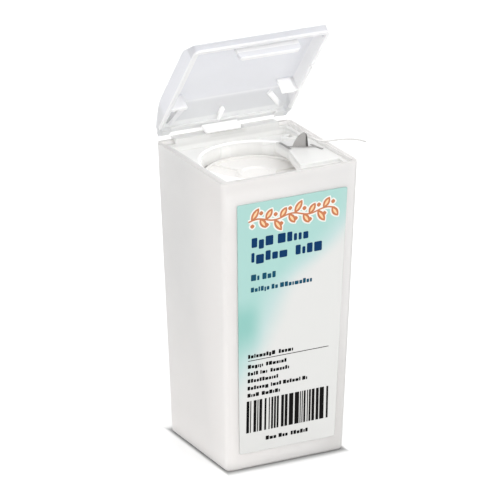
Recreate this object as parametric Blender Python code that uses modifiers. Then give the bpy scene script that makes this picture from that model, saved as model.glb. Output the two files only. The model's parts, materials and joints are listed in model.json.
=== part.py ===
"""Dental floss dispenser: a tapered moulded box with a flip lid, a drop-in cap base that carries
the steel cutter and the floss eyelet, and a spool of floss that turns on a post in the box.

Metres, +Z up, front towards -Y. The origin is the middle of the box's underside.
The lid stands part open, as in use.
"""

import math

import bmesh
import bpy
from mathutils import Matrix, Vector

# Gaps between pieces, and how far cuts and joins run past the faces that they meet
FIT_GAP = 0.0003
FILM_GAP = 0.0001
OVERRUN = 0.0010
BITE = 0.0003

# Box: a tapered shell with a stepped mouth
BOX_HEIGHT = 0.0798
BOX_WIDTH = 0.0391
BOX_DEPTH = 0.0375
BOX_DRAFT = 0.00250
BOX_WALL = 0.0016
BOX_FLOOR = 0.0015
BOX_CORNER = 0.0016
BOX_FOOT_ROUND = 0.0007
MOUTH_WALL = 0.00115
MOUTH_STEP_DROP = 0.0080

# Post on the box's floor that the spool turns on
POST_RADIUS = 0.0030
POST_TIP_RADIUS = 0.0027
POST_HEIGHT = 0.0180

# Cap base: the insert in the box's mouth
BASE_WALL = 0.0013
BASE_EDGE_DROP = 0.0008
DECK_DROP = 0.0027
DECK_THICKNESS = 0.0012
COLLAR_OFFSET = 0.0004
COLLAR_WALL = 0.0006
COLLAR_LIP = 0.0003
COLLAR_SKIRT = 0.0038
COLLAR_SIDE_GAP = 0.0002
GUIDE_RIB_WIDTH = 0.0030
GUIDE_RIB_DEPTH = 0.0005
GUIDE_RIB_DROP = 0.0006
GUIDE_RIB_COUNT = 8
GUIDE_RIB_START_DEGREES = 7.0
EYELET_RADIUS = 0.0021
EYELET_HEIGHT = 0.0014
EYELET_BORE = 0.0008
EYELET_ROUND = 0.0005
EYELET_WALL_BITE = 0.0003
EYELET_BACK_SET = 0.0058

# Raised platform that carries the cutter: a set in Y is a distance in front of the eyelet
PLATFORM_RISE = 0.0020
PLATFORM_BACK_WIDTH = 0.0082
PLATFORM_FRONT_WIDTH = 0.0112
PLATFORM_BACK_SET = 0.0045
PLATFORM_KNEE_SET = 0.0113
PLATFORM_FRONT_GAP = 0.0027

# Cutter: one stamped strip with two feet and an upright fin, with sets in Y as above
STEEL = 0.00045
CUTTER_SINK = 0.0004
CUTTER_GAP = 0.00015
FIN_LENGTH = 0.0041
FIN_HEIGHT = 0.0038
FIN_TURN_DEGREES = -28.0
FIN_SIDE_SET = 0.0062
FIN_START_SET = 0.0097
FOOT_WIDTH = 0.0006
LEFT_FOOT_SIDE_SET = 0.0075
LEFT_FOOT_BACK_SET = 0.0054
LEFT_FOOT_FRONT_SET = 0.0110
RIGHT_FOOT_BACK_SIDE_SET = 0.0011
RIGHT_FOOT_FRONT_SIDE_SET = 0.0002
RIGHT_FOOT_BACK_SET = 0.0103
RIGHT_FOOT_FRONT_SET = 0.0148

# Hinge: a land on the cap base, two film webs and a thicker strap between them
HINGE_BEHIND_WALL = 0.0013
HINGE_ABOVE_RIM = 0.00065
LAND_SIDE_SET = 0.00455
LAND_THICKNESS = 0.0005
LAND_REACH = 0.00055
LAND_RIM_GAP = 0.00015
FILM_THICKNESS = 0.0003
STRAP_WIDTH = 0.0100
STRAP_OFFSET = -0.0012
STRAP_THICKNESS = 0.0008

# Lid: a shallow tray with a sloped back and front
LID_OPEN_DEGREES = 52.0
LID_RIM_GAP = 0.0002
LID_SIDE_SET = 0.0002
LID_OFFSET = 0.00020
LID_BACK_SET = 0.0005
LID_FRONT_SET = 0.0012
LID_HEIGHT = 0.0052
LID_WALL = 0.0010
LID_BACK_HEIGHT = 0.0019
LID_BACK_SLOPE = 0.0074
LID_FRONT_SLOPE = 0.0060
LID_FRONT_HEIGHT = 0.00245
LID_EDGE_ROUND = 0.0007
LID_INNER_ROUND = 0.0004
LID_CORNER = 0.0015
LID_CORNER_SLACK = 0.00002
LID_BACK_CORNER_ROUND = 0.0006
LID_BACK_BEND_ROUND = 0.0120
LID_FRONT_BEND_ROUND = 0.0030
LID_FRONT_CORNER_ROUND = 0.0009
STRIP_DEPTH = 0.0011
STRIP_HEIGHT = 0.0014
TAB_WIDTH = 0.0176
TAB_OFFSET = 0.0017
TAB_THICKNESS = 0.0010
TAB_SET_BACK = 0.00195
TAB_REACH = 0.0025
TAB_ROUND = 0.0012
LID_RIB_LENGTH = 0.0045
LID_RIB_THICKNESS = 0.0009
LID_RIB_PLACE = 0.0103
LID_PEG_THICKNESS = 0.0007
LID_PEG_LENGTH = 0.0046
LID_PEG_OFFSET = -0.0016
LID_RIDGE_WIDTH = 0.0014
LID_RIDGE_DEPTH = 0.0010
LID_RIDGE_INNER_SET = 0.00695
LID_RIDGE_OUTER_SET = 0.00295
THREAD_NOTCH_WIDTH = 0.0008
THREAD_NOTCH_HEIGHT = 0.00065
THREAD_NOTCH_SET = 0.0127

# Spool: core with its lower flange, a pressed-in upper flange, and the wound floss
SPOOL_SIDE_GAP = 0.0006
SPOOL_TOP_GAP = 0.0009
SPOOL_TOP_DROP = 0.0036
FLANGE_THICKNESS = 0.0010
FLANGE_BEAD = 0.0005
FLANGE_BEAD_WIDTH = 0.0009
HUB_RADIUS = 0.0050
HUB_BOSS_HEIGHT = 0.0008
HUB_PLUG_LENGTH = 0.0040
SPOKE_WIDTH = 0.0012
SPOKE_HEIGHT = 0.0004
SPOKE_COUNT = 3
WINDING_MARGIN = 0.0009
WINDING_SHOULDER = 0.0012
WINDING_CROWN = 0.0003

# Label on the front of the box
LABEL_THICKNESS = 0.00015
LABEL_GAP = 0.00005
LABEL_TOP_DROP = 0.0065
LABEL_FOOT = 0.0045
LABEL_LEFT_MARGIN = 0.0039
LABEL_FOOT_LEFT_MARGIN = 0.0035
LABEL_RIGHT_MARGIN = 0.0032
LABEL_CORNER = 0.0004

# Floss
FLOSS_DIAMETER = 0.00045

# Smoothness of round shapes
TURN_STEPS = 64
SMALL_TURN_STEPS = 24
FILLET_STEPS = 5
LARGE_FILLET_STEPS = 8
EDGE_STEPS = 4

PARTS = bpy.data.collections.new("dental_floss_dispenser")
CUTTERS = bpy.data.collections.new("cutters")


# Places that follow from the sizes

RIM = BOX_HEIGHT
FLOOR_TOP = BOX_FLOOR
MOUTH_LEDGE = RIM - MOUTH_STEP_DROP
DECK_TOP = RIM - DECK_DROP
DECK_UNDER = DECK_TOP - DECK_THICKNESS
BASE_INSET = MOUTH_WALL + FIT_GAP
HINGE_Y = BOX_DEPTH / 2 + HINGE_BEHIND_WALL
HINGE_Z = RIM + HINGE_ABOVE_RIM
LID_BACK_Y = BOX_DEPTH / 2 - LID_BACK_SET
LID_WIDTH = BOX_WIDTH - 2 * LID_SIDE_SET
LID_LENGTH = BOX_DEPTH - LID_BACK_SET - LID_FRONT_SET
LAND_LOW = RIM + LAND_RIM_GAP
LAND_TOP = LAND_LOW + LAND_THICKNESS
LAND_BACK = BOX_DEPTH / 2 + LAND_REACH
LAND_SIDE = BOX_WIDTH / 2 - LAND_SIDE_SET
PLATFORM_TOP = DECK_TOP + PLATFORM_RISE


def lean(z):
    """How far the drafted walls have come in at a height, from where they are at the rim."""
    return BOX_DRAFT * (1 - z / BOX_HEIGHT)


def half_width(z, inset=0):
    return BOX_WIDTH / 2 - lean(z) - inset


def half_depth(z, inset=0):
    return BOX_DEPTH / 2 - lean(z) - inset


def round_room(z, inset):
    """The radius of the largest round thing that fits between the walls at a height."""
    return min(half_depth(z, inset), half_width(z, inset) - COLLAR_OFFSET)


DECK_SIDE = half_width(DECK_TOP, BASE_INSET + BASE_WALL)
DECK_FRONT = half_depth(DECK_TOP, BASE_INSET + BASE_WALL)
COLLAR_LOW = DECK_TOP - COLLAR_SKIRT
COLLAR_OUTER = round_room(COLLAR_LOW, BASE_INSET + BASE_WALL) - COLLAR_SIDE_GAP
COLLAR_INNER = COLLAR_OUTER - COLLAR_WALL
EYELET_X = DECK_SIDE - EYELET_RADIUS + EYELET_WALL_BITE
EYELET_Y = DECK_FRONT - EYELET_BACK_SET
SPOOL_LOW = FLOOR_TOP + FIT_GAP
SPOOL_TOP = DECK_TOP - SPOOL_TOP_DROP
LOWER_FLANGE_RADIUS = round_room(SPOOL_LOW, BOX_WALL) - SPOOL_SIDE_GAP
UPPER_FLANGE_RADIUS = COLLAR_INNER - COLLAR_OFFSET - GUIDE_RIB_DEPTH - SPOOL_TOP_GAP + FIT_GAP
WINDING_RADIUS = LOWER_FLANGE_RADIUS - WINDING_MARGIN
CORE_BORE = POST_RADIUS + FIT_GAP


# Materials

def plastic(name, colour, roughness, metallic=0.0):
    """A plain material in the piece's colour."""
    material = bpy.data.materials.new(name)
    material.use_nodes = True
    shader = material.node_tree.nodes["Principled BSDF"]
    shader.inputs["Base Color"].default_value = (*colour, 1.0)
    shader.inputs["Roughness"].default_value = roughness
    shader.inputs["Metallic"].default_value = metallic
    return material


# Shapes

def place(name, mesh, parent=None, material=None, tool=False):
    """Makes an object of a mesh, as a piece or as a hidden tool."""
    item = bpy.data.objects.new(name, mesh)
    (CUTTERS if tool else PARTS).objects.link(item)
    if parent:
        item.parent = parent
    if tool:
        item.hide_render = True
        item.display_type = "WIRE"
    if material:
        mesh.materials.append(material)
    return item


def finished(bm, name):
    """Turns a bmesh into a mesh with its faces pointing out."""
    bmesh.ops.recalc_face_normals(bm, faces=bm.faces)
    mesh = bpy.data.meshes.new(name)
    bm.to_mesh(mesh)
    bm.free()
    return mesh


def block(low, high, name="block"):
    """A box between two corners."""
    low, high = Vector(low), Vector(high)
    size = high - low
    bm = bmesh.new()
    bmesh.ops.create_cube(bm, size=1)
    bmesh.ops.scale(bm, vec=size, verts=bm.verts)
    bmesh.ops.translate(bm, vec=(low + high) / 2, verts=bm.verts)
    return finished(bm, name)


def drafted(inset, low, high, corner, foot=0.0, name="drafted"):
    """A block whose four sides follow the box's walls, inset from their outer faces."""
    bm = bmesh.new()
    bmesh.ops.create_cube(bm, size=2)
    for vert in bm.verts:
        z = high if vert.co.z > 0 else low
        vert.co = Vector((
            vert.co.x * half_width(z, inset),
            vert.co.y * half_depth(z, inset),
            z,
        ))
    upright = [e for e in bm.edges if abs(e.verts[0].co.z - e.verts[1].co.z) > (high - low) / 2]
    if corner > 0:
        bmesh.ops.bevel(bm, geom=upright, offset=corner, segments=FILLET_STEPS, profile=0.5, affect="EDGES")
    if foot > 0:
        rim = [e for e in bm.edges if max(e.verts[0].co.z, e.verts[1].co.z) < low + foot]
        bmesh.ops.bevel(bm, geom=rim, offset=foot, segments=FILLET_STEPS - 2, profile=0.5, affect="EDGES")
    return finished(bm, name)


def filleted(corners, steps=FILLET_STEPS):
    """Rounds a polygon's corners: each corner is (x, y) or (x, y, radius)."""
    points = []
    count = len(corners)
    for i, corner in enumerate(corners):
        here = Vector(corner[:2])
        radius = corner[2] if len(corner) > 2 else 0.0
        if radius <= 0:
            points.append(here)
            continue
        back = (Vector(corners[i - 1][:2]) - here).normalized()
        ahead = (Vector(corners[(i + 1) % count][:2]) - here).normalized()
        half = math.acos(max(-1.0, min(1.0, back.dot(ahead)))) / 2
        reach = radius / math.tan(half)
        centre = here + (back + ahead).normalized() * radius / math.sin(half)
        start = here + back * reach - centre
        sweep = (here + ahead * reach - centre).angle_signed(start)
        for k in range(steps + 1):
            turn = sweep * k / steps
            points.append(centre + Matrix.Rotation(turn, 2) @ start)
    return points


def inset_corners(corners, distance):
    """Moves every side of a convex polygon inwards; fillets shrink by the same distance."""
    count = len(corners)
    area = sum(
        corners[i][0] * corners[(i + 1) % count][1] - corners[(i + 1) % count][0] * corners[i][1]
        for i in range(count)
    )
    side = 1 if area > 0 else -1
    moved = []
    for i, corner in enumerate(corners):
        here = Vector(corner[:2])
        before = (here - Vector(corners[i - 1][:2])).normalized()
        after = (Vector(corners[(i + 1) % count][:2]) - here).normalized()
        normal_before = Vector((-before.y, before.x)) * side
        normal_after = Vector((-after.y, after.x)) * side
        shift = (normal_before + normal_after) / (1 + normal_before.dot(normal_after))
        radius = corner[2] if len(corner) > 2 else 0.0
        place_now = here + shift * distance
        moved.append((place_now.x, place_now.y, max(0.0, radius - distance)))
    return moved


def prism(points, thickness, frame=Matrix(), name="prism"):
    """A flat outline as a filled curve, made a mesh: centred on its plane, thickness along its normal."""
    curve = bpy.data.curves.new(name, "CURVE")
    curve.dimensions = "2D"
    curve.fill_mode = "BOTH"
    curve.extrude = thickness / 2
    spline = curve.splines.new("POLY")
    spline.points.add(len(points) - 1)
    for point, (x, y) in zip(spline.points, points):
        point.co = (x, y, 0.0, 1.0)
    spline.use_cyclic_u = True
    return meshed(curve, name, frame)


def pillow(corners, width, edge_round, frame, name):
    """A convex outline swept across, with its two end edges rounded."""
    across, sections = [], []
    for k in range(EDGE_STEPS + 1):
        angle = math.pi / 2 * k / EDGE_STEPS
        inset = edge_round * (1 - math.sin(angle))
        moved = inset_corners(corners, inset)
        tiny = edge_round / 100
        kept = [
            (x, y, max(radius, tiny) if corner[2] > 0 else 0.0)
            for (x, y, radius), corner in zip(moved, corners)
        ]
        sections.append(filleted(kept, LARGE_FILLET_STEPS))
        across.append(width / 2 - edge_round * (1 - math.cos(angle)))
    across = [-z for z in across] + across[::-1]
    sections = sections + sections[::-1]
    bm = bmesh.new()
    rings = [[bm.verts.new((x, y, z)) for x, y in section] for z, section in zip(across, sections)]
    for one, two in zip(rings, rings[1:]):
        for i in range(len(one)):
            bm.faces.new((one[i - 1], one[i], two[i], two[i - 1]))
    bm.faces.new(rings[0])
    bm.faces.new(rings[-1][::-1])
    bmesh.ops.transform(bm, matrix=frame, verts=bm.verts)
    return finished(bm, name)


def strand(points, diameter, name="strand"):
    """A length of floss along its points, with closed ends."""
    curve = bpy.data.curves.new(name, "CURVE")
    curve.dimensions = "3D"
    curve.bevel_depth = diameter / 2
    curve.bevel_resolution = 2
    curve.use_fill_caps = True
    spline = curve.splines.new("POLY")
    spline.points.add(len(points) - 1)
    for point, co in zip(spline.points, points):
        point.co = (*co, 1.0)
    return meshed(curve, name)


def meshed(curve, name, frame=Matrix()):
    """Makes a mesh of a curve, welds its caps and moves it into a frame."""
    item = bpy.data.objects.new(name, curve)
    bpy.context.scene.collection.objects.link(item)
    graph = bpy.context.evaluated_depsgraph_get()
    mesh = bpy.data.meshes.new_from_object(item.evaluated_get(graph))
    bpy.data.objects.remove(item)
    bpy.data.curves.remove(curve)
    bm = bmesh.new()
    bm.from_mesh(mesh)
    bpy.data.meshes.remove(mesh)
    bmesh.ops.remove_doubles(bm, verts=bm.verts, dist=BITE / 1000)
    bmesh.ops.transform(bm, matrix=frame, verts=bm.verts)
    return finished(bm, name)


def profile_mesh(profile, closed=True, name="profile"):
    """A profile in the XZ plane, for a Screw modifier: it runs down its outer side."""
    mesh = bpy.data.meshes.new(name)
    count = len(profile)
    edges = [(i, (i + 1) % count) for i in range(count if closed else count - 1)]
    mesh.from_pydata([(x, 0.0, z) for x, z in profile], edges, [])
    return mesh


def turn(item, steps=TURN_STEPS):
    """Spins an object's profile about its own Z."""
    screw = item.modifiers.new("turn", "SCREW")
    screw.steps = steps
    screw.render_steps = steps
    screw.use_merge_vertices = True
    screw.merge_threshold = BITE / 1000
    return item


def combine(target, tool, operation):
    """Cuts or joins with a tool object, which moves to the cutters."""
    modifier = target.modifiers.new(tool.name, "BOOLEAN")
    modifier.operation = operation
    modifier.solver = "EXACT"
    modifier.object = tool


def cut(target, mesh, parent=None):
    tool = place(mesh.name, mesh, parent, tool=True)
    combine(target, tool, "DIFFERENCE")
    return tool


def join(target, mesh, parent=None):
    tool = place(mesh.name, mesh, parent, tool=True)
    combine(target, tool, "UNION")
    return tool


def many(meshes, name):
    """Several separate meshes as one."""
    bm = bmesh.new()
    for mesh in meshes:
        bm.from_mesh(mesh)
        bpy.data.meshes.remove(mesh)
    joined = bpy.data.meshes.new(name)
    bm.to_mesh(joined)
    bm.free()
    return joined


def ribbon(route, thickness):
    """The outline of a band of even thickness along a route in a plane."""
    route = [Vector(p) for p in route]
    left, right = [], []
    for i, here in enumerate(route):
        before = (here - route[i - 1]).normalized() if i else None
        after = (route[i + 1] - here).normalized() if i < len(route) - 1 else None
        along = before + after if before and after else before or after
        along.normalize()
        across = Vector((-along.y, along.x))
        stretch = 1 / across.dot(Vector((-(after or before).y, (after or before).x)))
        left.append(here + across * stretch * thickness / 2)
        right.append(here - across * stretch * thickness / 2)
    return left + right[::-1]


def arc_route(start, middle, end, steps=FILLET_STEPS):
    """A smooth bend from start to end that leans out to middle."""
    start, middle, end = Vector(start), Vector(middle), Vector(end)
    points = []
    for k in range(steps + 1):
        t = k / steps
        points.append(start * (1 - t) ** 2 + middle * 2 * t * (1 - t) + end * t ** 2)
    return points


def side_frame():
    """Outline x runs along world Y, outline y along world Z, thickness along X."""
    return Matrix(((0, 0, 1, 0), (1, 0, 0, 0), (0, 1, 0, 0), (0, 0, 0, 1)))


def smooth(item, degrees=35.0):
    item.data.shade_smooth()
    item.data.set_sharp_from_angle(angle=math.radians(degrees))


# Pieces of the box

def make_box(material):
    """The tapered shell, its stepped mouth and the post for the spool."""
    box = place("box_body", drafted(0.0, 0.0, RIM, BOX_CORNER, BOX_FOOT_ROUND), material=material)
    inner_corner = max(BOX_CORNER - BOX_WALL, BOX_WALL / 2)
    cut(box, drafted(BOX_WALL, FLOOR_TOP, RIM + OVERRUN, inner_corner, name="box_hollow"))
    cut(box, drafted(MOUTH_WALL, MOUTH_LEDGE, RIM + OVERRUN, inner_corner, name="box_mouth"))
    post_top = FLOOR_TOP + POST_HEIGHT
    tip = POST_RADIUS - POST_TIP_RADIUS
    profile = [
        (0.0, post_top),
        (POST_TIP_RADIUS - tip, post_top),
        (POST_TIP_RADIUS, post_top - tip),
        (POST_RADIUS, FLOOR_TOP - BITE),
        (0.0, FLOOR_TOP - BITE),
    ]
    post = place("box_post", profile_mesh(profile, closed=False), tool=True)
    turn(post, SMALL_TURN_STEPS)
    combine(box, post, "UNION")
    smooth(box)
    return box


def platform_corners():
    """The platform's outline on the deck, its left edge splayed towards the front."""
    right = DECK_SIDE + BASE_WALL / 2
    back = EYELET_Y - PLATFORM_BACK_SET
    front = -DECK_FRONT + PLATFORM_FRONT_GAP
    return [
        (DECK_SIDE - PLATFORM_BACK_WIDTH, back),
        (DECK_SIDE - PLATFORM_BACK_WIDTH, EYELET_Y - PLATFORM_KNEE_SET),
        (DECK_SIDE - PLATFORM_FRONT_WIDTH, front),
        (right, front),
        (right, back),
    ]


def make_collar():
    """The round lip of the opening, with its skirt below the deck."""
    top = DECK_TOP + COLLAR_LIP
    profile = [
        (COLLAR_OUTER, top - COLLAR_LIP / 2),
        (COLLAR_OUTER, COLLAR_LOW),
        (COLLAR_INNER, COLLAR_LOW),
        (COLLAR_INNER, top - COLLAR_LIP / 2),
        (COLLAR_INNER + COLLAR_WALL / 4, top),
        (COLLAR_OUTER - COLLAR_WALL / 4, top),
    ]
    collar = place("base_collar", profile_mesh(profile), tool=True)
    collar.location.x = COLLAR_OFFSET
    return turn(collar)


def guide_ribs():
    """Upright ribs inside the collar that keep the spool's top centred."""
    ribs = []
    for k in range(GUIDE_RIB_COUNT):
        angle = math.radians(GUIDE_RIB_START_DEGREES) + 2 * math.pi * k / GUIDE_RIB_COUNT
        rib = block(
            (COLLAR_INNER - GUIDE_RIB_DEPTH, -GUIDE_RIB_WIDTH / 2, COLLAR_LOW + BITE),
            (COLLAR_INNER + COLLAR_WALL / 2, GUIDE_RIB_WIDTH / 2, DECK_TOP - GUIDE_RIB_DROP),
            "rib",
        )
        rib.transform(Matrix.Translation((COLLAR_OFFSET, 0, 0)) @ Matrix.Rotation(angle, 4, "Z"))
        ribs.append(rib)
    return many(ribs, "base_ribs")


def make_eyelet():
    """The round boss that the floss comes up through, its mouth flared so that it doesn't cut the floss."""
    top = DECK_TOP + EYELET_HEIGHT
    low = DECK_UNDER - BITE
    flare = EYELET_BORE / 2
    profile = []
    for k in range(FILLET_STEPS + 1):
        angle = math.pi / 2 * k / FILLET_STEPS
        profile.append((
            EYELET_RADIUS - EYELET_ROUND * (1 - math.sin(angle)),
            top - EYELET_ROUND * (1 - math.cos(angle)),
        ))
    profile += [
        (EYELET_RADIUS, low),
        (EYELET_BORE, low),
        (EYELET_BORE, top - flare),
        (EYELET_BORE + flare / 4, top - flare / 4),
    ]
    eyelet = place("base_eyelet", profile_mesh(profile), tool=True)
    eyelet.location = (EYELET_X, EYELET_Y, 0)
    return turn(eyelet, SMALL_TURN_STEPS)


def bore_deck(base, x, y, radius, name):
    """Cuts a round hole through the deck."""
    high = RIM - BASE_EDGE_DROP
    low = DECK_UNDER - OVERRUN
    profile = [(0.0, high), (radius, high), (radius, low), (0.0, low)]
    hole = place(name, profile_mesh(profile, closed=False), tool=True)
    hole.location = (x, y, 0)
    combine(base, turn(hole), "DIFFERENCE")


def hinge_bracket(back_face):
    """The upstand at the back of the cap base, with the land over the box's rim."""
    front = back_face - BASE_WALL
    back = back_face - BITE / 3
    outline = [
        (front, DECK_TOP + BITE),
        (back, DECK_TOP + BITE),
        (back, LAND_LOW),
        (LAND_BACK, LAND_LOW),
        (LAND_BACK, LAND_TOP),
        (front, LAND_TOP),
    ]
    return prism(outline, LAND_SIDE * 2, side_frame(), "base_hinge_bracket")


def make_base(material):
    """The cap base: skirt, deck, collar, platform, eyelet and the land that the hinge starts from."""
    skirt_low = MOUTH_LEDGE + FIT_GAP
    edge_top = RIM - BASE_EDGE_DROP
    corner = BOX_CORNER - MOUTH_WALL
    base = place("cap_base", drafted(BASE_INSET, skirt_low, edge_top, corner), material=material)
    inside = BASE_INSET + BASE_WALL
    cut(base, drafted(inside, skirt_low - OVERRUN, DECK_UNDER, BASE_WALL / 2, name="base_under"))
    cut(base, drafted(inside, DECK_TOP, edge_top + OVERRUN, BASE_WALL / 2, name="base_recess"))

    bore_deck(base, COLLAR_OFFSET, 0, (COLLAR_INNER + COLLAR_OUTER) / 2, "base_opening")
    bore_deck(base, EYELET_X, EYELET_Y, (EYELET_BORE + EYELET_RADIUS) / 2, "base_eyelet_hole")
    combine(base, make_collar(), "UNION")
    join(base, guide_ribs())

    slab_low = DECK_TOP - DECK_THICKNESS / 2
    frame = Matrix.Translation((0, 0, (slab_low + PLATFORM_TOP) / 2))
    join(base, prism(filleted(platform_corners()), PLATFORM_TOP - slab_low, frame, "base_platform"))
    join(base, hinge_bracket(half_depth(edge_top, BASE_INSET)))
    combine(base, make_eyelet(), "UNION")
    for tool in cutter_pieces(CUTTER_GAP, "base_slot"):
        cut(base, tool)
    smooth(base)
    return base


def bar_between(start, end, width, low, high, name):
    """A flat bar in plan, from one point to another."""
    start, end = Vector(start), Vector(end)
    along = end - start
    frame = Matrix.Translation((start.x, start.y, 0)) @ Matrix.Rotation(math.atan2(along.y, along.x), 4, "Z")
    bar = block((0, -width / 2, low), (along.length, width / 2, high), name)
    bar.transform(frame)
    return bar


def fin_ends():
    start = Vector((DECK_SIDE - FIN_SIDE_SET, EYELET_Y - FIN_START_SET))
    turn_angle = math.radians(FIN_TURN_DEGREES)
    return start, start + Vector((math.cos(turn_angle), math.sin(turn_angle))) * FIN_LENGTH


def cutter_pieces(gap, name):
    """The cutter's flat strip in plan: two feet and the bar that joins them, each grown by a gap."""
    low = PLATFORM_TOP - CUTTER_SINK - gap
    high = PLATFORM_TOP - CUTTER_SINK + STEEL
    if gap > 0:
        high = PLATFORM_TOP + OVERRUN
    fin_start, fin_end = fin_ends()
    along = (fin_end - fin_start).normalized()
    left_x = DECK_SIDE - LEFT_FOOT_SIDE_SET
    right_back_x = DECK_SIDE - RIGHT_FOOT_BACK_SIDE_SET
    right_front_x = DECK_SIDE - RIGHT_FOOT_FRONT_SIDE_SET
    bar_start = fin_start - along * (fin_start.x - left_x)
    bar_end = fin_end + along * (right_front_x - FOOT_WIDTH / 2 - fin_end.x)
    routes = [
        ((left_x, EYELET_Y - LEFT_FOOT_BACK_SET), (left_x, EYELET_Y - LEFT_FOOT_FRONT_SET)),
        (bar_start, bar_end),
        (
            (right_back_x, EYELET_Y - RIGHT_FOOT_BACK_SET),
            (right_front_x, EYELET_Y - RIGHT_FOOT_FRONT_SET),
        ),
    ]
    bars = []
    for k, (start, end) in enumerate(routes):
        start, end = Vector(start), Vector(end)
        reach = (end - start).normalized() * gap
        bars.append(bar_between(start - reach, end + reach, FOOT_WIDTH + gap * 2, low, high, f"{name}_{k}"))
    return bars


def make_cutter(material):
    """The stamped steel cutter: its strip lies in the platform and its fin stands up."""
    bars = cutter_pieces(0.0, "cutter_bar")
    cutter = place("cutter", bars[1], material=material)
    join(cutter, bars[0])
    join(cutter, bars[2])
    start, end = fin_ends()
    along = (end - start).normalized()
    low = PLATFORM_TOP - CUTTER_SINK + STEEL / 2
    tip = PLATFORM_TOP + FIN_HEIGHT
    rise = tip - low
    back_shares = [
        (0.00, 0.00), (0.05, 0.18), (0.13, 0.38), (0.24, 0.58), (0.38, 0.77), (0.54, 0.92), (0.68, 1.00),
    ]
    front_shares = [(0.80, 0.99), (0.89, 0.90), (0.94, 0.70), (0.97, 0.40), (1.00, 0.00)]
    points = [(a * FIN_LENGTH, low + b * rise) for a, b in back_shares + front_shares]
    frame = Matrix((
        (along.x, 0, along.y, start.x),
        (along.y, 0, -along.x, start.y),
        (0, 1, 0, 0),
        (0, 0, 0, 1),
    ))
    join(cutter, prism(points, STEEL, frame, "cutter_fin"))
    return cutter


def make_label(material):
    """The printed film on the front, lying on the drafted wall."""
    top = RIM - LABEL_TOP_DROP
    tilt = math.atan2(BOX_DRAFT, BOX_HEIGHT)
    stretch = 1 / math.cos(tilt)
    corners = [
        (-half_width(top) + LABEL_LEFT_MARGIN, top * stretch, LABEL_CORNER),
        (half_width(top) - LABEL_RIGHT_MARGIN, top * stretch, LABEL_CORNER),
        (half_width(LABEL_FOOT) - LABEL_RIGHT_MARGIN, LABEL_FOOT * stretch, LABEL_CORNER),
        (-half_width(LABEL_FOOT) + LABEL_FOOT_LEFT_MARGIN, LABEL_FOOT * stretch, LABEL_CORNER),
    ]
    outward = LABEL_GAP + LABEL_THICKNESS / 2
    frame = (
        Matrix.Translation((0, -half_depth(0), 0))
        @ Matrix.Rotation(tilt, 4, "X")
        @ Matrix.Translation((0, -outward, 0))
        @ Matrix(((1, 0, 0, 0), (0, 0, -1, 0), (0, 1, 0, 0), (0, 0, 0, 1)))
    )
    mesh = prism(filleted(corners, FILLET_STEPS - 2), LABEL_THICKNESS, frame, "front_label")
    return place("front_label", mesh, material=material)


# The lid and its hinge

def lid_frame():
    """Outline x runs forwards from the rim's back edge, outline y up from the rim, with the lid closed."""
    back_edge = LID_BACK_Y - HINGE_Y
    rim_plane = RIM + LID_RIM_GAP - HINGE_Z
    return Matrix((
        (0, 0, -1, LID_OFFSET),
        (-1, 0, 0, back_edge),
        (0, 1, 0, rim_plane),
        (0, 0, 0, 1),
    ))


def lid_block(left, right, back, front, low, high, name):
    """A block in the lid: across, from back to front, and up from the rim plane."""
    mesh = block((back, low, -right), (front, high, -left), name)
    mesh.transform(lid_frame())
    return mesh


def lid_corners(extra):
    """The lid's side view, run on past the rim plane by some extra."""
    return [
        (0.0, -extra, 0.0),
        (0.0, LID_BACK_HEIGHT, LID_BACK_CORNER_ROUND),
        (LID_BACK_SLOPE, LID_HEIGHT, LID_BACK_BEND_ROUND),
        (LID_LENGTH - LID_FRONT_SLOPE, LID_HEIGHT, LID_FRONT_BEND_ROUND),
        (LID_LENGTH, LID_FRONT_HEIGHT, LID_FRONT_CORNER_ROUND),
        (LID_LENGTH, -extra, 0.0),
    ]


def lid_plan(extra):
    """The lid's outline from above as a tall prism, its corners rounded as the box's are."""
    half = LID_WIDTH / 2 + LID_CORNER_SLACK
    back = -LID_CORNER_SLACK
    front = LID_LENGTH + LID_CORNER_SLACK
    corners = [(x, y, LID_CORNER) for x, y in ((back, -half), (front, -half), (front, half), (back, half))]
    thickness = LID_HEIGHT + extra * 3
    upright = Matrix(((1, 0, 0, 0), (0, 0, 1, 0), (0, -1, 0, 0), (0, 0, 0, 1)))
    return prism(filleted(corners), thickness, lid_frame() @ upright, "lid_corners")


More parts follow.
